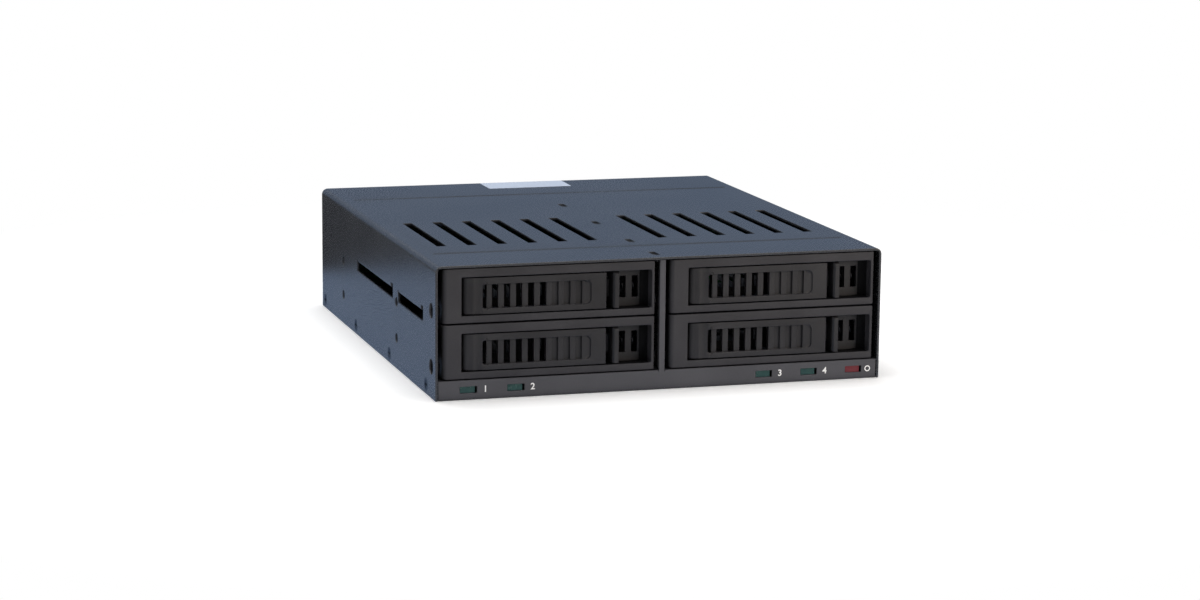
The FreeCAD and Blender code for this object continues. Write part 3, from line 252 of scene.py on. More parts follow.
def ribbedJacket(name, look):
    # grey PVC flat cable: a row of round cores that show as fine ribs along its run
    material, tree, shader, place = newSurface(name, {"Roughness": 0.55, "IOR": 1.5})
    ribs = addNode(tree, "TexWave", {"bands_direction": "X", "Scale": look["ribs"],
                                     "Distortion": 0.0}, {"Vector": place}).outputs["Fac"]
    tree.links.new(twoTone(tree, ribs, look["dark"], look["light"]), shader.inputs["Base Color"])
    bumpFrom(tree, shader, ribs, 0.6, 0.12 * mm)
    return material


def printedInk(name, look):
    # pad-printed or laser-printed matt layer: almost flat, slightly uneven in tone
    material, tree, shader, place = newSurface(name, {"Roughness": 0.7, "IOR": 1.45})
    fibre = noiseOf(tree, place, look["grain"], 3.0)
    tree.links.new(twoTone(tree, fibre, look["dark"], look["light"]), shader.inputs["Base Color"])
    roughFrom(tree, shader, fibre, 0.6, 0.8)
    return material


surfaces = {
    "powderCoat": powderCoat("powder coated steel, satin blue black", {
        "dark": "#38393c", "light": "#3e3f42", "inside": "#1b1c1e", "edge": "#7b7e86",
        "wear": 0.3, "cloud": 40 * mm, "grain": 0.5 * mm, "rough": (0.2, 0.32), "relief": 0.1,
        "gloss": 0.5}),
    "trayPaint": powderCoat("powder coated tray steel, black", {
        "dark": "#19191b", "light": "#202022", "inside": "#19191b", "edge": "#5a5b5e", "wear": 0.3,
        "cloud": 25 * mm, "grain": 0.4 * mm, "rough": (0.6, 0.75), "relief": 0.25, "gloss": 0.25}),
    # painted shade: a near black copy of the front plastic for the pocket walls
    "recessPlastic": mouldedPlastic("polished ABS, recess walls", {
        "dark": "#0b0b0d", "light": "#101012", "cloud": 6 * mm, "grain": 0.3 * mm,
        "rough": (0.6, 0.75), "relief": 0.1, "gloss": 0.12, "crevice": 3 * mm}),
    "frontPlastic": mouldedPlastic("spark eroded ABS, charcoal", {
        "dark": "#2d2c30", "light": "#343337", "cloud": 18 * mm, "grain": 0.3 * mm,
        "rough": (0.5, 0.64), "relief": 0.3, "gloss": 0.45, "crevice": 5 * mm}),
    "leverPlastic": mouldedPlastic("smooth moulded ABS, charcoal", {
        "dark": "#222124", "light": "#29282b", "cloud": 14 * mm, "grain": 0.22 * mm,
        "rough": (0.42, 0.55), "relief": 0.18, "gloss": 0.5, "crevice": 2 * mm}),
    # painted light: the strip is the front plastic made lighter in place of the light it gets from
    # the floor
    "stripPlastic": mouldedPlastic("fine textured ABS, dark grey", {
        "dark": "#46464b", "light": "#4b4b50", "cloud": 22 * mm, "grain": 0.3 * mm,
        "rough": (0.5, 0.64), "relief": 0.25, "gloss": 0.35, "crevice": 3 * mm}),
    "connectorPlastic": mouldedPlastic("glass filled nylon, black", {
        "dark": "#161617", "light": "#1e1e20", "cloud": 6 * mm, "grain": 0.25 * mm,
        "rough": (0.5, 0.65), "relief": 0.3, "gloss": 0.5, "crevice": 2 * mm}),
    "fanPlastic": mouldedPlastic("moulded PBT, black", {
        "dark": "#19191b", "light": "#222225", "cloud": 12 * mm, "grain": 0.35 * mm,
        "rough": (0.42, 0.56), "relief": 0.25, "gloss": 0.5, "crevice": 3 * mm}),
    "lampBody": mouldedPlastic("moulded lamp package, cream", {
        "dark": "#d8d2ba", "light": "#e6e1cd", "cloud": 2 * mm, "grain": 0.2 * mm,
        "rough": (0.35, 0.5), "relief": 0.1, "gloss": 0.5, "crevice": 1 * mm}),
    "pinSteel": bareMetal("ground steel pin", {
        "dark": "#a9a8a6", "light": "#c9c8c5", "stretch": (1, 1, 0.1), "grain": 0.2 * mm,
        "rough": (0.18, 0.32)}),
    "springWire": bareMetal("drawn spring wire", {
        "dark": "#57585b", "light": "#7b7c80", "stretch": (0.3, 1, 1), "grain": 0.15 * mm,
        "rough": (0.3, 0.46)}),
    "contactGold": bareMetal("gold plated contact", {
        "dark": "#b8923f", "light": "#d6b25c", "stretch": (1, 0.2, 1), "grain": 0.1 * mm,
        "rough": (0.2, 0.34)}),
    "screwSteel": bareMetal("black oxide steel screw", {
        "dark": "#3a3b3f", "light": "#54565c", "stretch": (1, 1, 1), "grain": 0.3 * mm,
        "rough": (0.3, 0.45)}),
    "canMetal": bareMetal("capacitor top, stamped aluminium", {
        "dark": "#b4b6ba", "light": "#d0d2d5", "stretch": (1, 0.1, 1), "grain": 0.3 * mm,
        "rough": (0.28, 0.42)}),
    "tinnedSteel": bareMetal("tinned lead, satin", {
        "dark": "#9fa1a4", "light": "#c4c6c8", "stretch": (1, 1, 1), "grain": 0.2 * mm,
        "rough": (0.3, 0.45)}),
    "plugNylon": mouldedPlastic("unfilled nylon plug, off white", {
        "dark": "#cfcabb", "light": "#dedacd", "cloud": 3 * mm, "grain": 0.2 * mm,
        "rough": (0.4, 0.55), "relief": 0.15, "gloss": 0.5, "crevice": 1 * mm}),
    "ceramic": mouldedPlastic("fired ceramic part, tan", {
        "dark": "#8d6f4f", "light": "#a58663", "cloud": 1 * mm, "grain": 0.1 * mm,
        "rough": (0.4, 0.55), "relief": 0.15, "gloss": 0.5, "crevice": 0.5 * mm}),
    "canSleeve": mouldedPlastic("shrunk PVC sleeve, blue black", {
        "dark": "#1b2233", "light": "#242c40", "cloud": 4 * mm, "grain": 0.3 * mm,
        "rough": (0.25, 0.4), "relief": 0.1, "gloss": 0.5, "crevice": 1 * mm}),
    "greenLens": tintedLens("tinted polycarbonate, dark green", {
        "dark": "#24423c", "light": "#2c5249", "clear": 0.2}),
    "redLens": tintedLens("tinted polycarbonate, dark red", {
        "dark": "#6a2022", "light": "#782a28", "clear": 0.1}),
    "circuitBoard": circuitBoard("solder mask on glass epoxy, green", {
        "mask": "#0f4a2a", "maskDark": "#0c4125", "track": "#1c6b3c", "run": 9 * mm,
        "pitch": 1.8 * mm}),
    "flatCable": ribbedJacket("PVC flat cable, grey", {
        "dark": "#7c7e84", "light": "#a6a8ad", "ribs": 250.0}),
    "whiteInk": printedInk("pad printed ink, white", {
        "dark": "#e6e6e6", "light": "#f4f4f4", "grain": 0.3 * mm}),
    "labelFilm": printedInk("polyester label film, white", {
        "dark": "#aab5c7", "light": "#b6c0d0", "grain": 1.2 * mm}),
}

slotSurface = {
    "powder_coat": "powderCoat", "tray_paint": "trayPaint", "front_plastic": "frontPlastic",
    "lever_plastic": "leverPlastic", "pin_steel": "pinSteel", "spring_steel": "springWire",
    "lamp_lens": "greenLens", "alarm_lens": "redLens", "circuit_board": "circuitBoard",
    "led_package": "lampBody", "flat_cable": "flatCable",
    "connector_plastic": "connectorPlastic", "screw_steel": "screwSteel",
    "fan_plastic": "fanPlastic"}


def paint(piece, surface):
    piece.data.materials.clear()
    piece.data.materials.append(surfaces[surface])


ownSurface = {"front_bezel": "stripPlastic"}  # same slot, in a lighter copy of the front plastic: painted light from the floor below
slotOf = {row["node"]: row["material_slot"] for row in frame["record"]["subparts"]}
for node, piece in frame["nodes"].items():
    paint(piece, ownSurface.get(node, slotSurface[slotOf[node]]))
print("materials done")


# modelling helpers

def deselect():
    bpy.ops.object.select_all(action="DESELECT")


def pick(piece):
    deselect()
    piece.select_set(True)
    bpy.context.view_layer.objects.active = piece


def applyModifier(piece, name, kind, settings):
    pick(piece)
    modifier = piece.modifiers.new(name, kind)
    for key, value in settings.items():
        setattr(modifier, key, value)
    bpy.ops.object.modifier_apply(modifier=modifier.name)


def settle(piece):  # put the place, turn and scale into the mesh
    pick(piece)
    bpy.ops.object.transform_apply(location=True, rotation=True, scale=True)


def smoothFaces(piece):  # smooth across small radii while the flats stay flat
    pick(piece)
    bpy.ops.object.shade_smooth_by_angle(angle=math.radians(40))
    applyModifier(piece, "flatFaces", "WEIGHTED_NORMAL", {"weight": 100, "keep_sharp": True})


def finish(piece, name, surface, body):
    piece.name = name
    piece.data.name = name
    settle(piece)
    smoothFaces(piece)
    paint(piece, surface)
    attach(piece, body)
    return piece


def joinAll(pieces):
    deselect()
    for piece in pieces:
        piece.select_set(True)
    bpy.context.view_layer.objects.active = pieces[0]
    bpy.ops.object.join()
    return bpy.context.view_layer.objects.active


def block(low, high):
    middle = [(a + b) / 2 for a, b in zip(low, high)]
    bpy.ops.mesh.primitive_cube_add(size=1.0, location=middle)
    piece = bpy.context.object
    piece.scale = [b - a for a, b in zip(low, high)]
    settle(piece)
    return piece


def upright(x, z, width, height, start, end):  # a block round x, z from start to end in depth
    return block((x - width / 2, start, z - height / 2), (x + width / 2, end, z + height / 2))


def roundPost(x, z, start, end, radius, sides=24):  # a cylinder that stands along the depth
    bpy.ops.mesh.primitive_cylinder_add(
        vertices=sides, radius=radius, depth=end - start, location=(x, (start + end) / 2, z),
        rotation=(math.pi / 2, 0, 0))
    settle(bpy.context.object)
    return bpy.context.object


# softened edges: each moulded or pressed node gets the small radii that its tool leaves

edgeRadii = {  # node stem: edge radius in mm
    "outer_shell": 0.16, "base_pan": 0.14, "rear_panel": 0.12, "centre_divider": 0.1,
    "tray_body": 0.06, "front_bezel": 0.16, "tray_front": 0.26, "lever": 0.12, "latch": 0.14,
    "drive_lamp_lenses": 0.1, "alarm_lamp_lens": 0.1, "drive_socket": 0.1, "data_port": 0.15,
    "power_inlet": 0.15, "backplane_board": 0.08, "indicator_board": 0.08,
    "fan_frame": 0.25, "fan_rotor": 0.12, "fan_screws": 0.12, "backplane_screws": 0.1,
    "side_cover_screws": 0.12}


def stemOf(node):
    return node.rstrip("1234").rstrip("_").replace("_left", "").replace("_right", "")


def softened(node, radius):
    source = frame["nodes"][node]
    piece = bpy.data.objects.new(node + "_finished", source.data.copy())
    bpy.context.scene.collection.objects.link(piece)
    pick(piece)
    bpy.ops.object.mode_set(mode="EDIT")
    bpy.ops.mesh.select_all(action="SELECT")
    bpy.ops.mesh.remove_doubles(threshold=0.002 * mm)
    bpy.ops.object.mode_set(mode="OBJECT")
    applyModifier(piece, "toolRadius", "BEVEL", {
        "width": radius * mm, "segments": 2, "limit_method": "ANGLE",
        "angle_limit": math.radians(40), "use_clamp_overlap": False})
    smoothFaces(piece)
    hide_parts(node)
    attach(piece, source["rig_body"])


for node in sorted(frame["nodes"]):
    if stemOf(node) in edgeRadii:
        softened(node, edgeRadii[stemOf(node)])
print("softened edges done")


# cross recesses in the heads of the round screws at the rear

recess = {"reach": 1.35 * mm, "slotShare": 0.42, "depth": 0.9 * mm, "above": 0.5 * mm,
          "apart": 6 * mm, "faceBand": 0.01 * mm}


def crossRecess(node, spots, headFace):
    wide, narrow = recess["reach"] * 2, recess["reach"] * recess["slotShare"]
    cutter = joinAll([
        upright(x, z, width, height, headFace - recess["depth"], headFace + recess["above"])
        for x, z in spots for width, height in ((wide, narrow), (narrow, wide))])
    piece = bpy.data.objects[node + "_finished"]
    applyModifier(piece, "crossRecess", "BOOLEAN", {
        "object": cutter, "operation": "DIFFERENCE", "solver": "EXACT", "use_self": True})
    bpy.data.objects.remove(cutter)
    smoothFaces(piece)


def headSpots(node):  # the middles of the separate screws, from their own vertices
    points = [v.co for v in frame["nodes"][node].data.vertices]
    face = max(p.y for p in points)
    spots = []
    for point in points:
        if point.y < face - recess["faceBand"]:
            continue
        flat = Vector((point.x, point.z))
        for spot in spots:
            if (flat - spot[0] / spot[1]).length < recess["apart"]:
                spot[0] += flat
                spot[1] += 1
                break
        else:
            spots.append([flat, 1])
    return [total / count for total, count in spots], face


# inside its pocket the tray front gets painted shade: the pocket faces take a near black copy of
# the plastic, darker than the textured face, in place of the shadow there

pocket = {"skin": 0.9 * mm, "hingeSide": 5.4 * mm, "latchSide": 1.6 * mm, "margin": 0.7 * mm}


def darkenRecess(order):
    node = "tray_front_%d" % order
    piece = bpy.data.objects[node + "_finished"]
    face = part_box(node)[0].y + pocket["skin"]
    lever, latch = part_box("lever_%d" % order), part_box("latch_%d" % order)
    low = Vector((lever[0].x + pocket["hingeSide"], face, latch[0].z - pocket["margin"]))
    high = latch[1] + Vector((pocket["latchSide"], 0, pocket["margin"]))
    piece.data.materials.append(surfaces["recessPlastic"])
    for polygon in piece.data.polygons:
        middle = polygon.center
        if all(low[i] < middle[i] < high[i] for i in range(3)):
            polygon.material_index = 1


for node in ("fan_screws", "backplane_screws"):
    crossRecess(node, *headSpots(node))
for order in trays:
    darkenRecess(order)
print("recess walls done")


# printed marks on the strip: plain numbers by the lamps and a plain ring by the alarm lamp

marks = {"height": 2.0 * mm, "capShare": 0.7, "bold": 0.05 * mm, "lift": 0.03 * mm,
         "level": 3.1 * mm, "lampPitch": 15.15 * mm, "numberGap": 5.4 * mm,
         "ringGap": 1.6 * mm, "ringRadius": 0.95 * mm, "ringWall": 0.3 * mm}


alarmLow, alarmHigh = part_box("alarm_lamp_lens")


def lampMiddles():
    low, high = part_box("drive_lamp_lenses")
    width = alarmHigh.x - alarmLow.x
    left, right = low.x + width / 2, high.x - width / 2
    return [left, left + marks["lampPitch"], right - marks["lampPitch"], right]


def printedNumber(text, x, faceY):
    bpy.ops.object.text_add(location=(x, faceY - marks["lift"], marks["level"]),
                            rotation=(math.pi / 2, 0, 0))
    piece = bpy.context.object
    piece.data.body = text
    piece.data.size = marks["height"] / marks["capShare"]
    piece.data.align_x = "CENTER"
    piece.data.align_y = "CENTER"
    piece.data.extrude = marks["lift"] / 2
    piece.data.offset = marks["bold"]
    pick(piece)
    bpy.ops.object.convert(target="MESH")
    finish(bpy.context.object, "lamp_number_" + text, "whiteInk", "cage")


def printedRing(x, faceY):
    bpy.ops.mesh.primitive_circle_add(vertices=40, radius=marks["ringRadius"], fill_type="NGON",
                                      location=(x, faceY - marks["lift"] / 2, marks["level"]),
                                      rotation=(math.pi / 2, 0, 0))
    piece = bpy.context.object
    bpy.ops.object.mode_set(mode="EDIT")
    bpy.ops.mesh.select_all(action="SELECT")
    bpy.ops.mesh.inset(thickness=marks["ringWall"])
    bpy.ops.mesh.delete(type="FACE")
    bpy.ops.object.mode_set(mode="OBJECT")
    applyModifier(piece, "inkLayer", "SOLIDIFY", {"thickness": marks["lift"], "offset": 0.0})
    finish(piece, "alarm_ring", "whiteInk", "cage")


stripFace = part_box("front_bezel")[0].y
for order, middle in enumerate(lampMiddles(), start=1):
    printedNumber(str(order), middle + marks["numberGap"], stripFace)
printedRing(alarmHigh.x + marks["ringGap"], stripFace)
print("printed marks done")


# blank label on the top, at the rear

label = {"width": 30.4 * mm, "depth": 13.6 * mm, "rearGap": 0.5 * mm, "film": 0.06 * mm,
         "corner": 0.8 * mm}


def blankLabel():
    high = shellBox[1]
    bpy.ops.mesh.primitive_plane_add(size=1.0, location=(
        0, high.y - label["rearGap"] - label["depth"] / 2, high.z + label["film"] / 2))
    piece = bpy.context.object
    piece.scale = (label["width"], label["depth"], 1)
    settle(piece)
    bpy.ops.object.mode_set(mode="EDIT")
    bpy.ops.mesh.select_all(action="SELECT")
    bpy.ops.mesh.bevel(offset=label["corner"], segments=5, affect="VERTICES")
    bpy.ops.object.mode_set(mode="OBJECT")
    applyModifier(piece, "film", "SOLIDIFY", {"thickness": label["film"], "offset": 0.0})
    finish(piece, "blank_label", "labelFilm", "cage")


blankLabel()
print("label done")


# latch springs: round wire with closed, ground ends

spring = {"wire": 0.4 * mm, "turns": 6.5, "deadTurns": 1.0, "stepsPerTurn": 20,
          "closedShare": 0.9, "travel": 1.8 * mm}


def springPoints(low, high):
    radius = (high.z - low.z) / 2 - spring["wire"] / 2
    middle = (low + high) / 2
    start, end = low.x + spring["wire"] / 2, high.x - spring["wire"] / 2
    count = int(spring["turns"] * spring["stepsPerTurn"])
    dead = spring["deadTurns"] / spring["turns"]
    closed = spring["wire"] * spring["closedShare"]
    points = []
    for step in range(count + 1):
        share = step / count
        if share < dead:
            along = closed * share / dead
        elif share > 1 - dead:
            along = (end - start) - closed * (1 - share) / dead
        else:
            along = closed + (end - start - 2 * closed) * (share - dead) / (1 - 2 * dead)
        turn = 2 * math.pi * spring["turns"] * share
        points.append((start + along, middle.y + radius * math.cos(turn),
                       middle.z + radius * math.sin(turn)))
    return points


def roundSpring(order):
    node = "latch_spring_%d" % order
    low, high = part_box(node)
    curve = bpy.data.curves.new(node + "_wire", "CURVE")
    curve.dimensions = "3D"
    curve.bevel_depth = spring["wire"] / 2
    curve.bevel_resolution = 3
    curve.use_fill_caps = True
    line = curve.splines.new("POLY")
    points = springPoints(low, high)
    line.points.add(len(points) - 1)
    for point, place in zip(line.points, points):
        point.co = (*place, 1)
    piece = bpy.data.objects.new(node + "_wire", curve)
    bpy.context.scene.collection.objects.link(piece)
    pick(piece)
    bpy.ops.object.convert(target="MESH")
    piece = finish(bpy.context.object, node + "_wire", "springWire",
                   "tray_%d" % order)
    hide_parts(node)
    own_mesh(piece)


for order in trays:
    roundSpring(order)
print("springs done")


# backplane: chips, capacitors, pin rows and gold contacts

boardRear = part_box("backplane_board")[1].y

chips = {  # middle x and z, width, height and thickness in mm, leads on each long side
    "controller": (0.0, 33.4, 8.4, 7.2, 1.4, 10), "switch": (0.0, 26.4, 5.0, 4.0, 1.1, 4),
    "monitorLeft": (-29.0, 19.0, 5.0, 4.0, 1.1, 4),
    "monitorRight": (29.0, 19.0, 5.0, 4.0, 1.1, 4),
    "regulatorLeft": (-44.0, 12.0, 6.6, 6.2, 2.2, 3),
    "regulatorRight": (44.0, 12.0, 6.6, 6.2, 2.2, 3)}
chipLead = {"width": 0.3 * mm, "length": 0.9 * mm, "thick": 0.35 * mm, "inset": 0.5 * mm,
            "standOff": 0.1 * mm}


def boardChips():
    bodies, leads = [], []
    for x, z, width, height, thick, count in chips.values():
        x, z, width, height, thick = x * mm, z * mm, width * mm, height * mm, thick * mm
        bodies.append(upright(x, z, width, height, boardRear + chipLead["standOff"],
                              boardRear + thick))
        pitch = (width - 2 * chipLead["inset"]) / (count - 1)
        for step in range(count):
            at = x - width / 2 + chipLead["inset"] + step * pitch
            for side in (-1, 1):
                leads.append(upright(at, z + side * (height + chipLead["length"]) / 2,
                                     chipLead["width"], chipLead["length"], boardRear,
                                     boardRear + chipLead["thick"]))
    moulded = joinAll(bodies)
    applyModifier(moulded, "draft", "BEVEL", {"width": 0.15 * mm, "segments": 2,
                                              "limit_method": "ANGLE"})
    finish(moulded, "backplane_chips", "connectorPlastic", "cage")
    finish(joinAll(leads), "backplane_leads", "tinnedSteel", "cage")


smallParts = {  # rows of ceramic parts: first x, z, count and pitch in mm
    "underPorts": (-20.0, 19.2, 5, 2.6), "underPortsRight": (9.6, 19.2, 5, 2.6),
    "lowLeft": (-22.0, 7.2, 6, 2.6), "lowRight": (9.0, 7.2, 6, 2.6),
    "aboveChip": (-5.2, 38.6, 5, 2.6)}


ceramic = {"width": 1.1 * mm, "height": 1.2 * mm, "thick": 0.7 * mm, "cap": 0.35 * mm,
           "capProud": 0.02 * mm}


def ceramicParts():
    bodies, ends = [], []
    thick, proud = ceramic["thick"], ceramic["capProud"]
    for x, z, count, pitch in smallParts.values():
        for step in range(count):
            at, up = (x + step * pitch) * mm, z * mm
            bodies.append(upright(at, up, ceramic["width"], ceramic["height"], boardRear,
                                  boardRear + thick))
            for side in (-1, 1):
                ends.append(upright(at + side * (ceramic["width"] + ceramic["cap"]) / 2, up,
                                    ceramic["cap"], ceramic["height"] + 2 * proud, boardRear,
                                    boardRear + thick + proud))
    finish(joinAll(bodies), "ceramic_parts", "ceramic", "cage")
    finish(joinAll(ends), "ceramic_ends", "tinnedSteel", "cage")


cans = {  # x, z and radius in mm
    "inputLeft": (-4.2, 16.6, 2.3), "inputRight": (4.0, 11.6, 3.0),
    "farLeft": (-40.0, 31.0, 2.5), "farRight": (40.0, 31.0, 2.5)}
canShape = {"lengthShare": 3.2, "topShare": 0.74, "topProud": 0.06 * mm, "topSunk": 0.1 * mm,
            "rolled": 0.35 * mm, "sides": 40}


def capacitors():
    sleeves, tops = [], []
    for x, z, radius in cans.values():
        x, z, radius = x * mm, z * mm, radius * mm
        end = boardRear + canShape["lengthShare"] * radius
        sleeve = roundPost(x, z, boardRear, end, radius, canShape["sides"])
        applyModifier(sleeve, "rolledEdge", "BEVEL", {
            "width": canShape["rolled"], "segments": 3, "limit_method": "ANGLE"})
        sleeves.append(sleeve)
        tops.append(roundPost(x, z, end - canShape["topSunk"], end + canShape["topProud"],
                              radius * canShape["topShare"], canShape["sides"]))
    finish(joinAll(sleeves), "capacitor_sleeves", "canSleeve", "cage")
    finish(joinAll(tops), "capacitor_tops", "canMetal", "cage")


capacitors()
ceramicParts()
boardChips()


contacts = {  # count, drop below the middle, gaps to the front and rear end
    "drive_socket": {"name": "socket", "count": 24, "drop": 1.05 * mm, "front": 2.4 * mm,
                     "rear": 1.2 * mm},
    "data_port": {"name": "port", "count": 7, "drop": 0.56 * mm, "front": 1.2 * mm,
                  "rear": 1.5 * mm},
    "power_inlet": {"name": "inlet", "count": 15, "drop": 0.56 * mm, "front": 1.2 * mm,
                    "rear": 1.5 * mm}}
strip = {"pitch": 1.27 * mm, "width": 0.6 * mm, "thick": 0.12 * mm}
solderPin = {"radius": 0.36 * mm, "length": 0.9 * mm, "stagger": 1.2 * mm, "sides": 10}


def rowPlaces(middle, count):
    return [middle + (step - (count - 1) / 2) * strip["pitch"] for step in range(count)]


def contactRow(stem, order):  # thin gold strips on one face
    row = contacts[stem]
    low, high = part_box("%s_%d" % (stem, order))
    level = (low.z + high.z) / 2 - row["drop"]
    strips = [upright(x, level, strip["width"], strip["thick"], low.y + row["front"],
                      high.y - row["rear"])
              for x in rowPlaces((low.x + high.x) / 2, row["count"])]
    finish(joinAll(strips), "%s_contacts_%d" % (row["name"], order), "contactGold",
           "cage")


def pinRow(order):  # the socket's soldered pins on the far side of the board
    low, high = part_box("drive_socket_%d" % order)
    places = rowPlaces((low.x + high.x) / 2, contacts["drive_socket"]["count"])
    pins = [roundPost(x, (low.z + high.z) / 2 + (step % 2) * solderPin["stagger"], boardRear,
                      boardRear + solderPin["length"], solderPin["radius"], solderPin["sides"])
            for step, x in enumerate(places)]
    finish(joinAll(pins), "socket_pins_%d" % order, "tinnedSteel", "cage")


for order in trays:
    contactRow("drive_socket", order)
    pinRow(order)
    contactRow("data_port", order)
for order in (1, 2):
    contactRow("power_inlet", order)
print("backplane parts done")


# fan headers on the backplane: an open nylon shroud with three pins

header = {"level": 31.5 * mm, "side": 28.4 * mm, "half": 3.8 * mm, "high": 2.0 * mm,
          "deep": 5.6 * mm, "wall": 0.6 * mm, "back": 1.2 * mm, "cheek": 3.0 * mm}
headerPin = {"pitch": 2.54 * mm, "radius": 0.32 * mm, "raised": 0.3 * mm, "short": 0.4 * mm,
             "sides": 12}


def fanHeader(side, word):
    across, level, wall = side * header["side"], header["level"], header["wall"]
    end, cheek = boardRear + header["deep"], boardRear + header["cheek"]
    left, right = across - header["half"], across + header["half"]
    low, high = level - header["high"], level + header["high"]
    base = [block((left, boardRear, low), (right, boardRear + header["back"], high)),
            block((left, boardRear, low), (right, end, low + wall)),
            block((left, boardRear, low), (left + wall, cheek, high)),
            block((right - wall, boardRear, low), (right, cheek, high))]
    finish(joinAll(base), "fan_header_" + word, "plugNylon", "cage")
    pins = [roundPost(across + step * headerPin["pitch"], level + headerPin["raised"], boardRear,
                      end - headerPin["short"], headerPin["radius"], headerPin["sides"])
            for step in (-1, 0, 1)]
    finish(joinAll(pins), "fan_header_pins_" + word, "tinnedSteel", "cage")


for side, word in ((-1, "left"), (1, "right")):
    fanHeader(side, word)
print("fan headers done")


# stage: floor, lamps and camera

def softBox(name, place, aim, size, power, tone):
    lamp = bpy.data.lights.new(name, "AREA")
    lamp.color = fromHex(tone)[:3]
    lamp.shape = "RECTANGLE"
    lamp.size, lamp.size_y = size
    lamp.energy = power
    piece = bpy.data.objects.new(name, lamp)
    bpy.context.scene.collection.objects.link(piece)
    piece.location = place
    piece.rotation_euler = (Vector(aim) - Vector(place)).to_track_quat("-Z", "Y").to_euler()


studio = {"middle": (0, 0, 0.02), "floorSize": 8.0, "paper": "#e4e4e4", "glow": 0.1,
          "sheetEnd": 0.14, "sheetFade": 0.02, "sheetTone": "#869cbd", "beyond": "#2b2d31",
          "frontStart": -0.06, "frontEnd": -0.16, "frontTone": "#77777a", "roomTone": "#687c98",
          "nearWhite": 0.12, "farWhite": 0.32, "bounceGlow": 0.5, "roomLight": "#eef1f6",
          "roomStrength": 0.2, "roomFront": (-0.5, -0.1)}


def brightest(tree, first, second):
    return addNode(tree, "Math", {"operation": "MAXIMUM"}, {0: first, 1: second}).outputs[0]


def mixOf(tree, factor, first, second):
    return addNode(tree, "MixShader", links={0: factor, 1: first, 2: second}).outputs[0]


def paleFloor():
    # white paper: lit and shadowed near the object, plain white further out; what shines on it
    # sees a pale sheet that ends behind the object, with a dark room beyond
    bpy.ops.mesh.primitive_plane_add(size=studio["floorSize"], location=(0, 0, -0.0001))
    floor = bpy.context.object
    floor.name = "floor"
    material = bpy.data.materials.new("studio paper, white")
    material.use_nodes = True
    tree = material.node_tree
    tree.nodes.clear()
    place = addNode(tree, "TexCoord").outputs["Object"]
    axes = addNode(tree, "SeparateXYZ", links={0: place})
    away = addNode(tree, "VectorMath", {"operation": "LENGTH"}, {0: place}).outputs["Value"]
    path = addNode(tree, "LightPath")

    bounce = addNode(tree, "AddShader", links={
        0: addNode(tree, "BsdfDiffuse", {"Color": fromHex(studio["paper"])}).outputs[0],
        1: addNode(tree, "Emission", {"Strength": studio["bounceGlow"]}).outputs[0]}).outputs[0]
    paper = addNode(tree, "BsdfDiffuse", {"Color": (1, 1, 1, 1)}).outputs[0]
    glow = addNode(tree, "Emission", {"Color": (1, 1, 1, 1), "Strength": studio["glow"]})
    lit = addNode(tree, "AddShader", links={0: paper, 1: glow.outputs[0]}).outputs[0]
    white = addNode(tree, "Emission", {"Color": (1, 1, 1, 1), "Strength": 1.0}).outputs[0]
    far = spread(tree, away, studio["nearWhite"], studio["farWhite"], 0.0, 1.0)
    background = mixOf(tree, far, lit, white)

    edge = spread(tree, axes.outputs["Y"], studio["sheetEnd"],
                  studio["sheetEnd"] + studio["sheetFade"], 0.0, 1.0)
    before = spread(tree, axes.outputs["Y"], studio["frontEnd"], studio["frontStart"], 1.0, 0.0)
    sheet = twoTone(tree, edge, studio["sheetTone"], studio["beyond"])
    sheen = addNode(tree, "Emission", {"Strength": 1.0}, {
        "Color": overlay(tree, before, sheet, studio["frontTone"])}).outputs[0]

    seen = brightest(tree, path.outputs["Is Camera Ray"], path.outputs["Is Transmission Ray"])
    glossy = mixOf(tree, path.outputs["Is Glossy Ray"], bounce, sheen)
    addNode(tree, "OutputMaterial", links={"Surface": mixOf(tree, seen, glossy, background)})
    floor.data.materials.append(material)


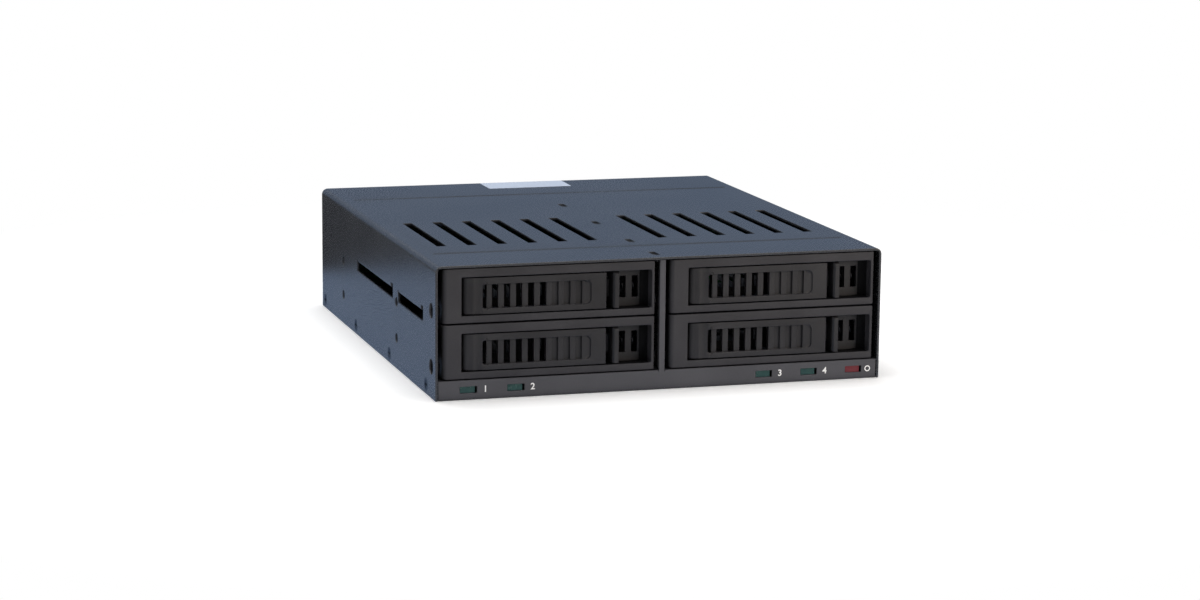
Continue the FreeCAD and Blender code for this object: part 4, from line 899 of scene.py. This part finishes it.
def paleWorld():
    world = bpy.data.worlds.new("studio room")
    bpy.context.scene.world = world
    world.use_nodes = True
    tree = world.node_tree
    tree.nodes.clear()
    room = addNode(tree, "Background", {"Color": fromHex(studio["roomLight"]),
                                       "Strength": studio["roomStrength"]})
    around = addNode(tree, "TexCoord").outputs["Generated"]
    axes = addNode(tree, "SeparateXYZ", links={0: around})
    before = spread(tree, axes.outputs["Y"], *studio["roomFront"], 1.0, 0.0)
    shine = addNode(tree, "Background", {"Strength": 1.0}, {
        "Color": twoTone(tree, before, studio["roomTone"], studio["frontTone"])})
    white = addNode(tree, "Background", {"Color": (1, 1, 1, 1), "Strength": 1.0})
    path = addNode(tree, "LightPath")
    seen = brightest(tree, path.outputs["Is Camera Ray"], path.outputs["Is Transmission Ray"])
    glossy = mixOf(tree, path.outputs["Is Glossy Ray"], room.outputs[0], shine.outputs[0])
    addNode(tree, "OutputWorld", links={"Surface": mixOf(tree, seen, glossy, white.outputs[0])})


paleFloor()
paleWorld()
lamps = {  # place, aim, width and height, power in watts, tone
    "soft box above": ((-0.05, 0.05, 1.3), studio["middle"], (1.3, 1.1), 18.0, "#ffffff"),
    "soft box front": ((0.5, -1.5, 0.42), studio["middle"], (1.2, 0.5), 2.4, "#fff6ec"),
    "small soft box right": ((0.32, -0.38, 0.14), (0.04, -0.083, 0.02), (0.22, 0.18), 0.6,
                             "#fff1e2"),
    "soft box behind": ((-0.5, 1.1, 1.0), studio["middle"], (0.8, 0.6), 4.0, "#ffffff")}
for name, settings in lamps.items():
    softBox(name, *settings)

view = {"place": (-0.2957, -0.9742, 0.2024), "yaw": -17.158, "pitch": -10.509, "roll": -0.586,
        "lens": 91.92, "sensor": 36.0}


def placeCamera():
    camera = bpy.data.cameras.new("camera")
    camera.lens = view["lens"]
    camera.sensor_width = view["sensor"]
    camera.clip_start = 0.01
    camera.clip_end = 20.0
    piece = bpy.data.objects.new("camera", camera)
    bpy.context.scene.collection.objects.link(piece)
    turn = (Matrix.Rotation(math.radians(view["yaw"]), 4, "Z")
            @ Matrix.Rotation(math.radians(view["pitch"]), 4, "X")
            @ Matrix.Rotation(math.radians(view["roll"]), 4, "Y")
            @ Matrix.Rotation(math.pi / 2, 4, "X"))
    piece.matrix_world = Matrix.Translation(Vector(view["place"])) @ turn
    bpy.context.scene.camera = piece


placeCamera()
bpy.context.scene.view_settings.view_transform = "Standard"
print("stage done")
